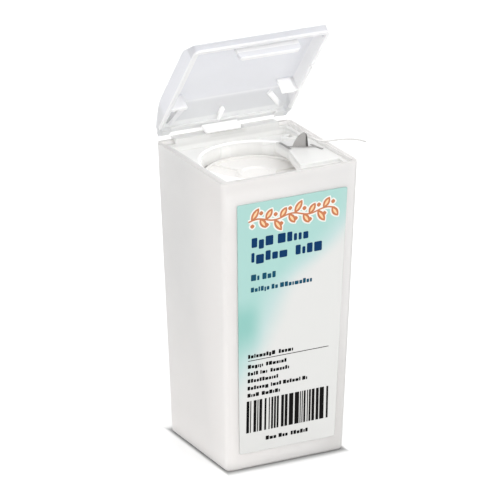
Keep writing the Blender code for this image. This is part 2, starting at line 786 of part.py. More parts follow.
def make_lid(material, hinge):
    """The tray, its hinge strip, snap tab, end ribs, middle peg and corner ridges."""
    frame = lid_frame()
    extra = LID_WALL * 4
    corners = lid_corners(extra)
    lid = place("lid", pillow(corners, LID_WIDTH, LID_EDGE_ROUND, frame, "lid"), hinge, material)
    corner_tool = place("lid_corners", lid_plan(extra), hinge, tool=True)
    combine(lid, corner_tool, "INTERSECT")

    inner_corners = inset_corners(corners, LID_WALL)
    inner_width = LID_WIDTH - 2 * LID_WALL
    cut(lid, pillow(inner_corners, inner_width, LID_INNER_ROUND, frame, "lid_hollow"), hinge)
    half = LID_WIDTH / 2
    below = lid_block(
        -half - OVERRUN,
        half + OVERRUN,
        -OVERRUN,
        LID_LENGTH + OVERRUN,
        -extra - OVERRUN,
        0,
        "lid_trim",
    )
    cut(lid, below, hinge)

    strip_end = half - LID_EDGE_ROUND
    strip = lid_block(-strip_end, strip_end, -STRIP_DEPTH, LID_WALL / 2, 0, STRIP_HEIGHT, "lid_strip")
    join(lid, strip, hinge)
    land_clear = land_gap_in_lid()
    notch = lid_block(
        -LAND_SIDE - FIT_GAP - LID_OFFSET,
        LAND_SIDE + FIT_GAP - LID_OFFSET,
        -STRIP_DEPTH - OVERRUN,
        LID_WALL + BITE,
        -TAB_REACH,
        land_clear,
        "lid_notch",
    )
    cut(lid, notch, hinge)
    thread_place = LID_BACK_Y - EYELET_Y + THREAD_NOTCH_SET
    thread_notch = lid_block(
        half - LID_WALL * 3 / 2,
        half + OVERRUN,
        thread_place - THREAD_NOTCH_WIDTH / 2,
        thread_place + THREAD_NOTCH_WIDTH / 2,
        -OVERRUN,
        THREAD_NOTCH_HEIGHT,
        "lid_thread_notch",
    )
    cut(lid, thread_notch, hinge)

    slope = (LID_HEIGHT - LID_BACK_HEIGHT) / LID_BACK_SLOPE
    ceiling = LID_HEIGHT - LID_WALL
    bite = LID_WALL / 2

    ribs = []
    for side in (-1, 1):
        ends = sorted((side * (half - bite), side * (half - LID_WALL - LID_RIB_LENGTH)))
        ribs.append(lid_block(
            *ends,
            LID_RIB_PLACE - LID_RIB_THICKNESS / 2,
            LID_RIB_PLACE + LID_RIB_THICKNESS / 2,
            0,
            ceiling + bite,
            "rib",
        ))
    join(lid, many(ribs, "lid_ribs"), hinge)

    peg_end = LID_WALL + LID_PEG_LENGTH
    peg = lid_block(
        LID_PEG_OFFSET - LID_PEG_THICKNESS / 2,
        LID_PEG_OFFSET + LID_PEG_THICKNESS / 2,
        LID_WALL / 2,
        peg_end,
        land_clear,
        LID_BACK_HEIGHT - LID_WALL / 2 + slope * LID_WALL,
        "lid_peg",
    )
    join(lid, peg, hinge)
    join(lid, lid_ridges(slope), hinge)

    tab_left = TAB_OFFSET - TAB_WIDTH / 2
    tab_right = TAB_OFFSET + TAB_WIDTH / 2
    front_slope = (LID_HEIGHT - LID_FRONT_HEIGHT) / LID_FRONT_SLOPE
    tab_top = LID_FRONT_HEIGHT + front_slope * TAB_SET_BACK - LID_WALL / 2
    tab_corners = [
        (-tab_right, tab_top),
        (-tab_right, -TAB_REACH, TAB_ROUND),
        (-tab_left, -TAB_REACH, TAB_ROUND),
        (-tab_left, tab_top),
    ]
    tab_middle = LID_LENGTH - TAB_SET_BACK - TAB_THICKNESS / 2
    upright = Matrix(((0, 0, 1, tab_middle), (0, 1, 0, 0), (1, 0, 0, 0), (0, 0, 0, 1)))
    join(lid, prism(filleted(tab_corners), TAB_THICKNESS, frame @ upright, "lid_tab"), hinge)

    smooth(lid)
    return lid


def lid_ridges(slope):
    """Two low slanting ridges on the inside of the lid's sloped back, one near each corner."""
    low = LID_BACK_HEIGHT - LID_WALL * math.sqrt(1 + slope ** 2)
    start_v = LID_WALL * 2
    end_v = LID_BACK_SLOPE - LID_WALL
    ridges = []
    for side in (-1, 1):
        start = Vector((start_v, low + slope * start_v, -side * (LID_WIDTH / 2 - LID_RIDGE_OUTER_SET)))
        end = Vector((end_v, low + slope * end_v, -side * (LID_WIDTH / 2 - LID_RIDGE_INNER_SET)))
        along = (end - start).normalized()
        up = Vector((-slope, 1, 0)).normalized()
        across = along.cross(up).normalized()
        up = across.cross(along)
        ridge = block(
            (0, -LID_RIDGE_WIDTH / 2, -LID_RIDGE_DEPTH),
            ((end - start).length, LID_RIDGE_WIDTH / 2, LID_WALL / 2),
            "ridge",
        )
        turn_matrix = Matrix((along, -across, up)).transposed().to_4x4()
        ridge.transform(lid_frame() @ Matrix.Translation(start) @ turn_matrix)
        ridges.append(ridge)
    return many(ridges, "lid_ridges")


def opened(v, n):
    """Where a point of the lid's side view is with the lid at its stored angle, as (y, z)."""
    angle = math.radians(LID_OPEN_DEGREES)
    y = LID_BACK_Y - v - HINGE_Y
    z = RIM + LID_RIM_GAP + n - HINGE_Z
    return Vector((
        HINGE_Y + y * math.cos(angle) + z * math.sin(angle),
        HINGE_Z - y * math.sin(angle) + z * math.cos(angle),
    ))


def make_films(material):
    """The thin webs that the lid turns on: they meet behind the strap."""
    strip_low = LAND_TOP - RIM - LID_RIM_GAP + FIT_GAP
    strip_middle = (strip_low + STRIP_HEIGHT) / 2
    start = Vector((LAND_BACK + FILM_GAP, (LAND_LOW + LAND_TOP) / 2))
    end = opened(-STRIP_DEPTH - FILM_GAP, strip_middle)
    knee = Vector((end.x + FILM_THICKNESS / 2, start.y))
    outline = ribbon(arc_route(start, knee, end), FILM_THICKNESS)
    for side, name in ((-1, "hinge_web_left"), (1, "hinge_web_right")):
        inner = STRAP_OFFSET + side * FILM_GAP
        length = abs(side * LAND_SIDE - inner)
        middle = (side * LAND_SIDE + inner) / 2
        frame = Matrix.Translation((middle, 0, 0)) @ side_frame()
        place(name, prism(outline, length, frame, name), material=material)


def make_strap(material):
    """The thicker strap in the middle, which holds the lid where it is put."""
    back_face = half_depth(RIM - BASE_EDGE_DROP, BASE_INSET)
    lift = STRAP_THICKNESS / 2 + FILM_GAP
    start = Vector((back_face - BASE_WALL, LAND_TOP + lift))
    end = opened(LID_WALL / 2, land_gap_in_lid() - lift)
    knee = Vector((end.x - STRAP_THICKNESS / 2, start.y + STRAP_THICKNESS / 4))
    outline = ribbon(arc_route(start, knee, end), STRAP_THICKNESS)
    frame = Matrix.Translation((STRAP_OFFSET, 0, 0)) @ side_frame()
    place("hinge_strap", prism(outline, STRAP_WIDTH, frame, "hinge_strap"), material=material)


def land_gap_in_lid():
    """Height above the rim plane where the lid's back wall starts over the hinge land."""
    return LAND_TOP - RIM - LID_RIM_GAP + FIT_GAP


# The spool

def make_spool(plastic_material, floss_material, axle):
    """The core with its lower flange, the upper flange with its plug, and the wound floss."""
    flange_low = SPOOL_LOW
    flange_top = SPOOL_LOW + FLANGE_THICKNESS
    upper_low = SPOOL_TOP - FLANGE_THICKNESS
    core_top = upper_low - FIT_GAP
    core_profile = [
        (HUB_RADIUS, core_top),
        (HUB_RADIUS, flange_top),
        (LOWER_FLANGE_RADIUS, flange_top),
        (LOWER_FLANGE_RADIUS, flange_low),
        (CORE_BORE, flange_low),
        (CORE_BORE, core_top),
    ]
    core = place("spool_core", profile_mesh(core_profile), axle, plastic_material)
    turn(core)

    boss_top = SPOOL_TOP + HUB_BOSS_HEIGHT
    plug_radius = CORE_BORE - FIT_GAP
    bead_in = UPPER_FLANGE_RADIUS - FLANGE_BEAD_WIDTH
    upper_profile = [
        (0.0, boss_top - HUB_BOSS_HEIGHT / 2),
        (HUB_RADIUS - HUB_BOSS_HEIGHT * 2, boss_top - HUB_BOSS_HEIGHT / 2),
        (HUB_RADIUS - HUB_BOSS_HEIGHT * 3 / 2, boss_top),
        (HUB_RADIUS, boss_top),
        (HUB_RADIUS + HUB_BOSS_HEIGHT / 2, SPOOL_TOP),
        (bead_in, SPOOL_TOP),
        (bead_in, SPOOL_TOP + FLANGE_BEAD),
        (UPPER_FLANGE_RADIUS, SPOOL_TOP + FLANGE_BEAD),
        (UPPER_FLANGE_RADIUS, upper_low),
        (plug_radius, upper_low),
        (plug_radius, upper_low - HUB_PLUG_LENGTH),
        (0.0, upper_low - HUB_PLUG_LENGTH),
    ]
    upper = place("spool_upper_flange", profile_mesh(upper_profile, closed=False), axle, plastic_material)
    turn(upper)
    spokes = []
    for k in range(SPOKE_COUNT):
        spoke = block(
            (HUB_RADIUS, -SPOKE_WIDTH / 2, SPOOL_TOP - FLANGE_THICKNESS / 2),
            (bead_in + FLANGE_BEAD_WIDTH / 2, SPOKE_WIDTH / 2, SPOOL_TOP + SPOKE_HEIGHT),
            "spoke",
        )
        spoke.transform(Matrix.Rotation(2 * math.pi * k / SPOKE_COUNT, 4, "Z"))
        spokes.append(spoke)
    join(upper, many(spokes, "spool_spokes"), axle)

    low = flange_top + FIT_GAP
    high = core_top - FIT_GAP
    outer = []
    for k in range(LARGE_FILLET_STEPS + 1):
        share = k / LARGE_FILLET_STEPS
        z = high - WINDING_SHOULDER - (high - low - 2 * WINDING_SHOULDER) * share
        crown = WINDING_CROWN * math.sin(math.pi * share)
        outer.append((WINDING_RADIUS - WINDING_CROWN + crown, z))
    inner = HUB_RADIUS + FIT_GAP
    shoulder = WINDING_RADIUS - WINDING_CROWN - WINDING_SHOULDER
    winding_profile = [(shoulder, high), *outer, (shoulder, low), (inner, low), (inner, high)]
    winding = place("floss_winding", profile_mesh(winding_profile), axle, floss_material)
    turn(winding)
    for item in (core, upper, winding):
        smooth(item)


# The free floss

# Held run: off the winding, past the upper flange, up to the eyelet.
# Each point is (share of the way in plan, height above the rim)
FEED_START_DEGREES = 25.0
FEED_ROUTE = [
    (0.00, -0.0244),
    (0.03, -0.0204),
    (0.20, -0.0154),
    (0.50, -0.0107),
    (0.85, -0.0072),
    (1.00, -0.0055),
]

# Loose tail: up through the eyelet, past the fin and out over the right-hand rim.
# Each point is (x and y from the eyelet's middle, height above the rim)
TAIL_ROUTE = [
    (0.00000, 0.00010, -0.00515),
    (0.00000, 0.00010, -0.00240),
    (0.00000, 0.00000, -0.00140),
    (0.00005, -0.00060, -0.00080),
    (0.00015, -0.00230, -0.00035),
    (0.00025, -0.00560, 0.00030),
    (0.00030, -0.00860, 0.00090),
    (0.00025, -0.01070, 0.00135),
    (0.00080, -0.01200, 0.00135),
    (0.00230, -0.01245, 0.00075),
    (0.00465, -0.01270, 0.00034),
    (0.00760, -0.01280, 0.00025),
    (0.01060, -0.01295, -0.00004),
    (0.01310, -0.01320, -0.00055),
    (0.01520, -0.01360, -0.00130),
]


def smooth_route(points, steps):
    """Reads points from a smooth curve through a route's own points."""
    points = [Vector(p) for p in points]
    padded = [points[0] * 2 - points[1], *points, points[-1] * 2 - points[-2]]
    out = []
    for i in range(len(points) - 1):
        a, b, c, d = padded[i:i + 4]
        for k in range(steps):
            t = k / steps
            out.append(0.5 * (
                2 * b + (c - a) * t + (2 * a - 5 * b + 4 * c - d) * t ** 2 + (3 * b - a - 3 * c + d) * t ** 3
            ))
    out.append(points[-1])
    return out


def make_floss(material):
    reach = WINDING_RADIUS + FIT_GAP + FLOSS_DIAMETER / 2
    angle = math.radians(FEED_START_DEGREES)
    start = Vector((math.cos(angle), math.sin(angle))) * reach
    eyelet = Vector((EYELET_X, EYELET_Y))
    feed = [(*start.lerp(eyelet, share), RIM + height) for share, height in FEED_ROUTE]
    tail = [(EYELET_X + x, EYELET_Y + y, RIM + height) for x, y, height in TAIL_ROUTE]
    for name, route in (("floss_feed", feed), ("floss_tail", tail)):
        place(name, strand(smooth_route(route, 3), FLOSS_DIAMETER, name), material=material)


# Everything

def empty(name, location, rotation=(0, 0, 0)):
    item = bpy.data.objects.new(name, None)
    item.location = location
    item.rotation_euler = rotation
    item.empty_display_size = POST_HEIGHT
    PARTS.objects.link(item)
    return item


def main():
    for item in list(bpy.data.objects):
        bpy.data.objects.remove(item)
    for collection in (PARTS, CUTTERS):
        bpy.context.scene.collection.children.link(collection)
    frosted = plastic("natural polypropylene", (0.86, 0.86, 0.85), 0.35)
    clear = plastic("clear polypropylene", (0.88, 0.90, 0.93), 0.20)
    white = plastic("white polystyrene", (0.90, 0.88, 0.87), 0.35)
    steel = plastic("stainless steel", (0.45, 0.44, 0.44), 0.30, 1.0)
    film = plastic("printed film", (0.62, 0.85, 0.80), 0.25)
    nylon = plastic("nylon floss", (0.93, 0.93, 0.92), 0.60)

    hinge = empty("lid_hinge_axis", (0, HINGE_Y, HINGE_Z), (-math.radians(LID_OPEN_DEGREES), 0, 0))
    axle = empty("spool_axis", (0, 0, 0))
    make_box(frosted)
    make_base(frosted)
    make_cutter(steel)
    make_label(film)
    make_lid(clear, hinge)
    make_films(clear)
    make_strap(clear)
    make_spool(white, nylon, axle)
    make_floss(nylon)


main()
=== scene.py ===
"""Looks for the dental floss dispenser: its finishes, the label's print, the floss and the hinge's film.

Metres, +Z up, front towards -Y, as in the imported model. The lid stands part open, as in use.
"""

import json
import math
import random

import bmesh
import bpy
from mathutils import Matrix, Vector


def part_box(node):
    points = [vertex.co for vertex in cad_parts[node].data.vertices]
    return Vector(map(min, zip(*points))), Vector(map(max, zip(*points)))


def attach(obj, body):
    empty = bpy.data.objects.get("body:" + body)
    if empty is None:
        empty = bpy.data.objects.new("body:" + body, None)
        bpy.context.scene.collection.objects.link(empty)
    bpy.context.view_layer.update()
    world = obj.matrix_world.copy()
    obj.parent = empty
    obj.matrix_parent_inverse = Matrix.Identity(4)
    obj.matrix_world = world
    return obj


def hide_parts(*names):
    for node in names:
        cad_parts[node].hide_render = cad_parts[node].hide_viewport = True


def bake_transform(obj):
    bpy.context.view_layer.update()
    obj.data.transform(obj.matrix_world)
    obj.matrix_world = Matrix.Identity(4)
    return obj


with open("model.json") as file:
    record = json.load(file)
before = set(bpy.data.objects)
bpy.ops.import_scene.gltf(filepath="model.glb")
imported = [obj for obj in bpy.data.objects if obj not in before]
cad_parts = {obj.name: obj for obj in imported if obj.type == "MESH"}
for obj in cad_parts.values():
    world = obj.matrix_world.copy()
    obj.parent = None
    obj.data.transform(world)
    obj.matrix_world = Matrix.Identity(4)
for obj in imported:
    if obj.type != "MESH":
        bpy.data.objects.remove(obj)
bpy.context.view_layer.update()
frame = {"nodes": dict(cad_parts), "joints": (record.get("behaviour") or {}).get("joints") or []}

# A name that ends in span gives the two values between which a shade changes, the first one first

# Camera: the photograph's viewing angle, from far off with a long lens
CAMERA_AZIMUTH_DEGREES = -27.77
CAMERA_ELEVATION_DEGREES = 20.28
CAMERA_PLACE = (-0.5160, -0.9762, 0.4608)
LENS_MILLIMETRES = 329.2
SENSOR_MILLIMETRES = 36.0
CLIP_END = 10.0

# Studio: a white sky, brighter overhead, in front and on the right, and a white sweep under the object
SKY_HORIZON = 0.72
SKY_ZENITH = 1.42
SKY_FRONT = 0.70
SKY_FRONT_SPAN = (-1.0, 0.2)
SKY_SIDE = 0.16
SKY_DOWN = 0.60
FLOOR_SIZE = 6.0

# The painted contact shadow where the box stands: it starts at the foot, and spreads further in front and
# behind
FOOT_HALF_WIDTH = 0.01705
FOOT_HALF_DEPTH = 0.01625
CONTACT_SHADOW_REACH = 0.0013
CONTACT_SHADOW_FRONT_SHARE = 0.37
CONTACT_SHADOW_COLOURS = [(0.0, "#9A9A9A"), (0.25, "#BABABA"), (0.50, "#E0E0E0"), (0.75, "#F1F1F1"), (1.0, "#F6F6F6")]

# Floss
FLOSS_DIAMETER = 0.00045
FLOSS_GAP = 0.0003
TWIST_PITCH = 0.0009
FIBRE_SIZE = 0.00012
FLOSS_SIDES = 3
FLOSS_STEPS = 8

# Each point of the tail is (x and y from the eyelet's middle, height above the rim)
TAIL_ROUTE = [
    (0.00000, 0.00010, -0.00515),
    (0.00000, 0.00010, -0.00240),
    (0.00000, 0.00000, -0.00140),
    (0.00005, -0.00060, -0.00080),
    (0.00015, -0.00230, -0.00035),
    (0.00025, -0.00560, 0.00030),
    (0.00030, -0.00860, 0.00090),
    (0.00025, -0.01070, 0.00135),
    (0.00080, -0.01200, 0.00135),
    (0.00230, -0.01245, 0.00075),
    (0.00465, -0.01270, 0.00034),
    (0.00760, -0.01280, 0.00025),
    (0.01060, -0.01295, -0.00004),
    (0.01310, -0.01320, -0.00055),
    (0.01520, -0.01360, -0.00130),
]

# Each point of the run inside is (share of the way from the winding to the eyelet, height above the rim)
FEED_START_DEGREES = 25.0
FEED_ROUTE = [
    (0.00, -0.0244),
    (0.03, -0.0204),
    (0.20, -0.0154),
    (0.50, -0.0107),
    (0.85, -0.0072),
    (1.00, -0.0055),
]

# The winding's turns, as they show on its side
WINDING_PITCH = 0.0011
WINDING_RELIEF = 0.00016
WINDING_STEPS_PER_TURN = 3
WINDING_SIDES = 72
WINDING_BORE = 0.0053
WINDING_SHOULDER = 0.0012

# Sizes of the surface patterns
EDGE_SOFTNESS = 0.00018
MOULD_GRAIN = 0.00035
MOULD_GRAIN_HEIGHT = 0.000006
FLOW_SIZE = 0.018
CLOUD_SIZE = 0.012
NOISE_SPAN = (0.3, 0.7)
GLOSS_CHANGE = 0.1

# How far light wanders inside each plastic
WALL_SCATTER = 0.003
HINGE_SCATTER = 0.002
SPOOL_SCATTER = 0.001

# Box: its shape, and where its faces get painted light and shade
BOX_DRAFT = 0.0025
FACE_DEPTH = 0.0010
RIM_EDGE = 0.0006
LEFT_FACE_SPAN = (FACE_DEPTH, FACE_DEPTH / 4)
FRONT_SPAN = (0.004, -0.016)
FOOT_PAINTED_LIGHT_HEIGHT = 0.045
FOOT_PAINTED_LIGHT_SHARE = 0.65
SIDE_SPAN = (-0.015, 0.017)
SIDE_SHARE = 0.2
UPPER_SPAN = (0.058, 0.078)
UPPER_SHARE = 0.5
UNDER_RIM_SPAN = (0.067, 0.074)
UNDER_RIM_SHARE = 0.42
AT_RIM_SPAN = (0.0755, 0.0785)
LOW_RIGHT_SPAN = (0.006, 0.0165)
LOW_RIGHT_HEIGHTS = (0.010, 0.045)
RIGHT_EDGE_SPAN = (-FACE_DEPTH * 1.3, -FACE_DEPTH * 0.6)
EDGE_FRONT_SPAN = (-0.010, -0.014)

# Box: its painted glow, emission in place of light through its walls: in its mouth from how far in, at its
# foot, low in front and all round
MOUTH_GLOW = 0.17
MOUTH_DEPTH = 0.009
MOUTH_SET = 0.0009
MOUTH_SET_SHARE = 1.1
MOUTH_FAR_SHARES = (4, 3)
MOUTH_BACK_SPAN = (-0.0172, -0.0164)
FOOT_GLOW = 0.05
FOOT_GLOW_HEIGHT = 0.008
UNDER_GLOW = 0.065
UNDER_GLOW_HEIGHT = 0.012
LOW_GLOW = 0.04
LOW_GLOW_HEIGHT = 0.060
EVEN_GLOW = 0.02
EVEN_GLOW_HEIGHT = 0.030

# Cap: its deck below the rim, the lip of its opening that gets a painted highlight, and its raised parts and
# land that get painted shade, as shares of that drop
DECK_DROP = 0.0027
LIP_OFFSET = 0.0004
LIP_RADIUS = 0.0153
LIP_HALF = 0.0003
RAISED_SHARES = (0.3, 0.6)
LAND_SHARES = (0.80, 0.85)
LAND_SPAN = (0.0155, 0.0165)

# Cap: its painted glow, emission in place of light from within the box: below the deck, on its left, in its
# back right corner and in the lip
CAP_GLOW = 0.13
CAP_GLOW_DEPTH = 0.0016
DECK_GLOW = 0.004
DECK_LEFT_GLOW = 0.036
DECK_LEFT_SPAN = (-0.0140, 0.0080)
CORNER_GLOW = 0.012
CORNER_RIGHT_SPAN = (0.0080, 0.0110)
CORNER_BACK_SPAN = (0.0050, 0.0080)
LIP_GLOW = 0.15

# Painted glow in the floss, emission in place of light, inside the box and in its first stretch beyond the
# eyelet
FLOSS_GLOW = 0.24
FLOSS_GLOW_SPAN = (0.0020, 0.0060)

# Lid: its stored angle, its back edge and rim from the hinge's axis, its outline from the side, its edges
LID_OPEN_DEGREES = 52.0
LID_BACK_BEHIND = -0.0018
LID_RIM_DROP = 0.00045
LID_LENGTH = 0.0358
LID_HEIGHT = 0.0052
LID_WALL = 0.0010
LID_BACK_HEIGHT = 0.0019
LID_BACK_SLOPE = 0.0074
LID_FRONT_SLOPE = 0.0060
LID_FRONT_HEIGHT = 0.00245
LID_STRIP_DEPTH = 0.0022
LID_TAB_REACH = 0.0025
LID_LEFT = -0.0186
LID_RIGHT = 0.0180

# Lid: where its painted shade, light and highlights fall, from its back edge, its rim plane or its middle,
# then its painted glow
LID_FRONT_SPAN = (LID_LENGTH - LID_FRONT_SLOPE, LID_LENGTH)
LID_NOSE_SPAN = (LID_LENGTH - LID_FRONT_SLOPE * 0.6, LID_LENGTH - LID_FRONT_SLOPE * 0.5)
LID_SLOPE_SPAN = (LID_BACK_SLOPE * 0.8, LID_BACK_SLOPE * 1.2)
LID_WALL_SPAN = (LID_WALL * 1.15, LID_WALL * 1.5)
LID_STRIP_SPAN = (LID_STRIP_DEPTH * 0.9, LID_STRIP_DEPTH * 1.1)
LID_PAST_STRIP_SPAN = (LID_STRIP_DEPTH * 1.5, LID_STRIP_DEPTH * 2.5)
LID_BETWEEN_SPAN = (LID_RIGHT - LID_WALL * 3, LID_RIGHT - LID_WALL * 2)
LID_INSIDE_SPAN = (LID_RIGHT, LID_RIGHT - LID_WALL / 2)
LID_RIGHT_WALL_SPAN = (LID_RIGHT - LID_WALL * 2, LID_RIGHT)
LID_LEFT_RIB_SPAN = (-LID_RIGHT * 0.6, -LID_RIGHT * 0.3)
LID_LEFT_RIB_SHARE = 0.45
LID_BEHIND_SPAN = (LID_LENGTH * 0.5, LID_LENGTH * 0.8)
LID_RIM_HEIGHT = 0.0009
LID_RIM_UPPER_SPAN = (LID_RIM_HEIGHT / 3, LID_RIM_HEIGHT)
LID_RIM_LOWER_SPAN = (-LID_RIM_HEIGHT, -LID_RIM_HEIGHT / 2)
LID_TAB_TIP_SPAN = (-LID_TAB_REACH, -LID_TAB_REACH * 0.8)
LID_PAINTED_LIGHT_SHARE = 0.9
LID_RIM_LIGHT = 0.05
LID_RIB_LIGHT = 0.20
LID_TAB_LIGHT = 0.075
LID_WALL_LIGHT = 0.015

# The cutter: its fin, for the darker strip at its far end, and how far the rolling lines are drawn out
FIN_START = (0.01052, 0.00042)
FIN_TURN_DEGREES = -28.0
FIN_LENGTH = 0.0041
FIN_HEIGHT = 0.0038
FIN_DARK_END_SPAN = (FIN_LENGTH * 0.80, FIN_LENGTH * 0.88)
ROLLING_STRETCH = 14.0
ROLLING_SPAN = (0.2, 0.8)
STEEL_ROUGHNESS = (0.22, 0.40)

# Hinge film: routes in (y, z) from the hinge's axis, and its painted glow, in place of the light that comes
# through it
WEB_THICKNESS = 0.0003
WEB_ROUTE = [(-0.00065, -0.00025), (0.00027, -0.00025), (0.00012, 0.00086)]
WEB_GLOW = 0.20
STRAP_THICKNESS = 0.0008
STRAP_ROUTE = [(-0.00407, 0.00050), (-0.00197, 0.00070), (-0.00157, 0.00169)]
STRAP_EDGE = 0.00015
STRAP_GLOW = 0.27
STRAP_HALF_WIDTH = 0.0052
STRAP_END_SPAN = (STRAP_HALF_WIDTH, STRAP_HALF_WIDTH * 1.05)
BESIDE_STRAP_SPAN = (STRAP_HALF_WIDTH * 0.9, STRAP_HALF_WIDTH * 1.1)
HINGE_BACK_TURN = 0.3
HINGE_STEPS = 10
SHARP_ANGLE = 1.0

# Colour printed on the label's film: how far the teal reaches across at each height, and its deep patch
TEAL_HIGH_SPAN = (0.050, 0.068)
TEAL_HIGH_REACH = (-0.0030, 0.0185)
TEAL_LOW_SPAN = (0.016, 0.050)
TEAL_LOW_REACH = (-0.0185, 0.0)
TEAL_WANDER = 0.0015
TEAL_FADE_SPAN = (-0.0065, 0.0085)
DEEP_RISE_SPAN = (0.030, 0.0395)
DEEP_FALL_SPAN = (0.0415, 0.0485)
DEEP_SIDE_SPAN = (-0.0122, -0.0066)
DEEP_SHARE = 0.88

# Print on the label: sizes on the face of the film, x across and z up, from the box's own origin
INK = 0.00002
LAYER = 0.000004
HEAD_LEFT = -0.0112
PRINT_LEFT = -0.0117
PRINT_RIGHT = 0.0117
UNDER_BARS_LEFT = -0.0062

# Each row of blocks is (left end, middle, height, lengths of its words)
HEADLINE_ROWS = [
    (HEAD_LEFT, 0.0625, 0.0026, [0.0062, 0.0090]),
    (HEAD_LEFT, 0.0585, 0.0026, [0.0114, 0.0088]),
]
NOTE_ROWS = [
    (HEAD_LEFT, 0.0530, 0.0017, [0.0024, 0.0044]),
    (HEAD_LEFT, 0.0497, 0.0013, [0.0053, 0.0018, 0.0092]),
]
BOLD_ROW = (PRINT_LEFT, 0.0314, 0.0011, [0.0083, 0.0044])
SMALL_ROWS = [
    (PRINT_LEFT, 0.0286, 0.00105, [0.0047, 0.0062]),
    (PRINT_LEFT, 0.0266, 0.00105, [0.0031, 0.0024, 0.0058]),
    (PRINT_LEFT, 0.0246, 0.00105, [0.0088]),
    (PRINT_LEFT, 0.0226, 0.00105, [0.0062, 0.0030, 0.0051, 0.0019]),
    (PRINT_LEFT, 0.0206, 0.00105, [0.0036, 0.0056]),
    (UNDER_BARS_LEFT, 0.0078, 0.0011, [0.0032, 0.0030, 0.0052]),
]
RULE_BOTTOM = 0.03010
RULE_TOP = 0.03028
RULE_CORNER = 0.00005

# A block's sizes, as shares of its row's height, and how often it is tall or reaches below the row
WORD_GAP_SHARE = 0.50
BLOCK_GAP_SHARE = 0.18
BLOCK_WIDTH_SHARES = (0.34, 0.56, 0.62, 0.70, 0.86)
BLOCK_LEAST_SHARE = 0.3
BLOCK_LOW_SHARE = 0.74
BLOCK_TAIL_SHARE = 0.22
BLOCK_CORNER_SHARE = 0.10
BLOCK_TALL_CHANCE = 0.22
BLOCK_TAIL_CHANCE = 0.08

# The panel of bars
BARS_LEFT = -0.0119
BARS_RIGHT = 0.0122
BARS_BOTTOM = 0.0101
BARS_TOP = 0.0190
BARS_END_ROOM = 0.0004
BAR_WIDTHS = (0.00028, 0.00030, 0.00055, 0.00080, 0.00125)
BAR_GAPS = (0.00026, 0.00028, 0.00042, 0.00070)
BAR_CORNER = 0.00002

# The vine, as high as its band: its stem, its leaves and berries as shares of that height, its white edge
BAND_LEFT = -0.0122
BAND_RIGHT = 0.0126
BAND_BOTTOM = 0.0658
BAND_TOP = 0.0708
VINE_WAVES = 2.5
VINE_STEPS = 60
VINE_SWING_SHARE = 0.10
VINE_STEM = 0.00042
VINE_EDGE = 0.00040
VINE_LEAVES = 12
LEAF_LENGTH_SHARE = 0.66
LONG_LEAF_SHARE = 0.78
LONG_LEAF_EVERY = 3
LEAF_WIDTH_SHARE = 0.36
LEAF_REACH_SHARE = 0.48
LEAF_LEAN_DEGREES = 34
LEAF_FULLNESS = 0.75
LEAF_STEPS = 9
VEIN_LENGTH_SHARE = 0.60
VEIN_WIDTH_SHARE = 0.34
BERRY_SHARE = 0.24
BERRY_ACROSS_SHARE = 0.06
BERRY_DROP_SHARE = 0.30

# How a mask that fades softly is made, and which draws the blocks and bars get
SOFT = {"interpolation_type": "SMOOTHSTEP"}
DICE_SEED = 7


# Helpers

def linear(code):
    """A web colour as linear values."""
    values = [int(code[k:k + 2], 16) / 255 for k in (1, 3, 5)]
    return (*[v / 12.92 if v <= 0.04045 else ((v + 0.055) / 1.055) ** 2.4 for v in values], 1.0)


def add_node(tree, kind, *values, inputs=None, output=0, **settings):
    """Adds a node with its settings and a value or a link for each input, and gives one of its outputs."""
    node = tree.nodes.new(kind)
    for key, value in settings.items():
        setattr(node, key, value)
    for key, value in {**dict(enumerate(values)), **(inputs or {})}.items():
        if isinstance(value, bpy.types.NodeSocket):
            tree.links.new(value, node.inputs[key])
        else:
            node.inputs[key].default_value = value
    return node.outputs[output]


def joined(tree, operation, *values):
    """Several values made into one, such as masks that are multiplied."""
    result = values[0]
    for value in values[1:]:
        result = add_node(tree, "ShaderNodeMath", result, value, operation=operation)
    return result


def colours_along(tree, factor, stops):
    """Colours along a factor."""
    colour = add_node(tree, "ShaderNodeValToRGB", factor)
    elements = colour.node.color_ramp.elements
    while len(elements) < len(stops):
        elements.new(1.0)
    for element, (position, code) in zip(elements, stops):
        element.position = position
        element.color = linear(code)
    return colour


def object_place(tree):
    return add_node(tree, "ShaderNodeTexCoord", output="Object")


def place_parts(tree):
    """How far a point is across, along and up, as three values."""
    return tuple(add_node(tree, "ShaderNodeSeparateXYZ", object_place(tree)).node.outputs)


def pattern(tree, place, size, detail=2.0):
    """An irregular pattern whose features have a size in metres."""
    inputs = {"Vector": place, "Scale": 1 / size, "Detail": detail}
    return add_node(tree, "ShaderNodeTexNoise", inputs=inputs, output="Fac")


def new_material(name, colour, roughness, **values):
    """A Principled material with its plain values set, and its tree and shader."""
    material = bpy.data.materials.new(name)
    material.use_nodes = True
    shader = material.node_tree.nodes["Principled BSDF"]
    shader.inputs["Base Color"].default_value = linear(colour)
    shader.inputs["Roughness"].default_value = roughness
    for key, value in values.items():
        shader.inputs[key.replace("_", " ")].default_value = value
    return material, material.node_tree, shader


def bumped(tree, shader, height, distance, strength=1.0, edge=EDGE_SOFTNESS):
    """Gives a shader softened edges and a bump of a height in metres."""
    soft = add_node(tree, "ShaderNodeBevel", edge, samples=4)
    inputs = {"Height": height, "Distance": distance, "Strength": strength, "Normal": soft}
    tree.links.new(add_node(tree, "ShaderNodeBump", inputs=inputs), shader.inputs["Normal"])


def add_object(name, data):
    item = bpy.data.objects.new(name, data)
    bpy.context.scene.collection.objects.link(item)
    return item


def set_material(item, material):
    item.data.materials.clear()
    item.data.materials.append(material)


def mesh_of(bm, name, smooth_degrees=None):
    """Makes a mesh of a bmesh, with its faces pointing out."""
    bmesh.ops.recalc_face_normals(bm, faces=bm.faces)
    mesh = bpy.data.meshes.new(name)
    bm.to_mesh(mesh)
    bm.free()
    if smooth_degrees is not None:
        mesh.shade_smooth()
        mesh.set_sharp_from_angle(angle=math.radians(smooth_degrees))
    return mesh


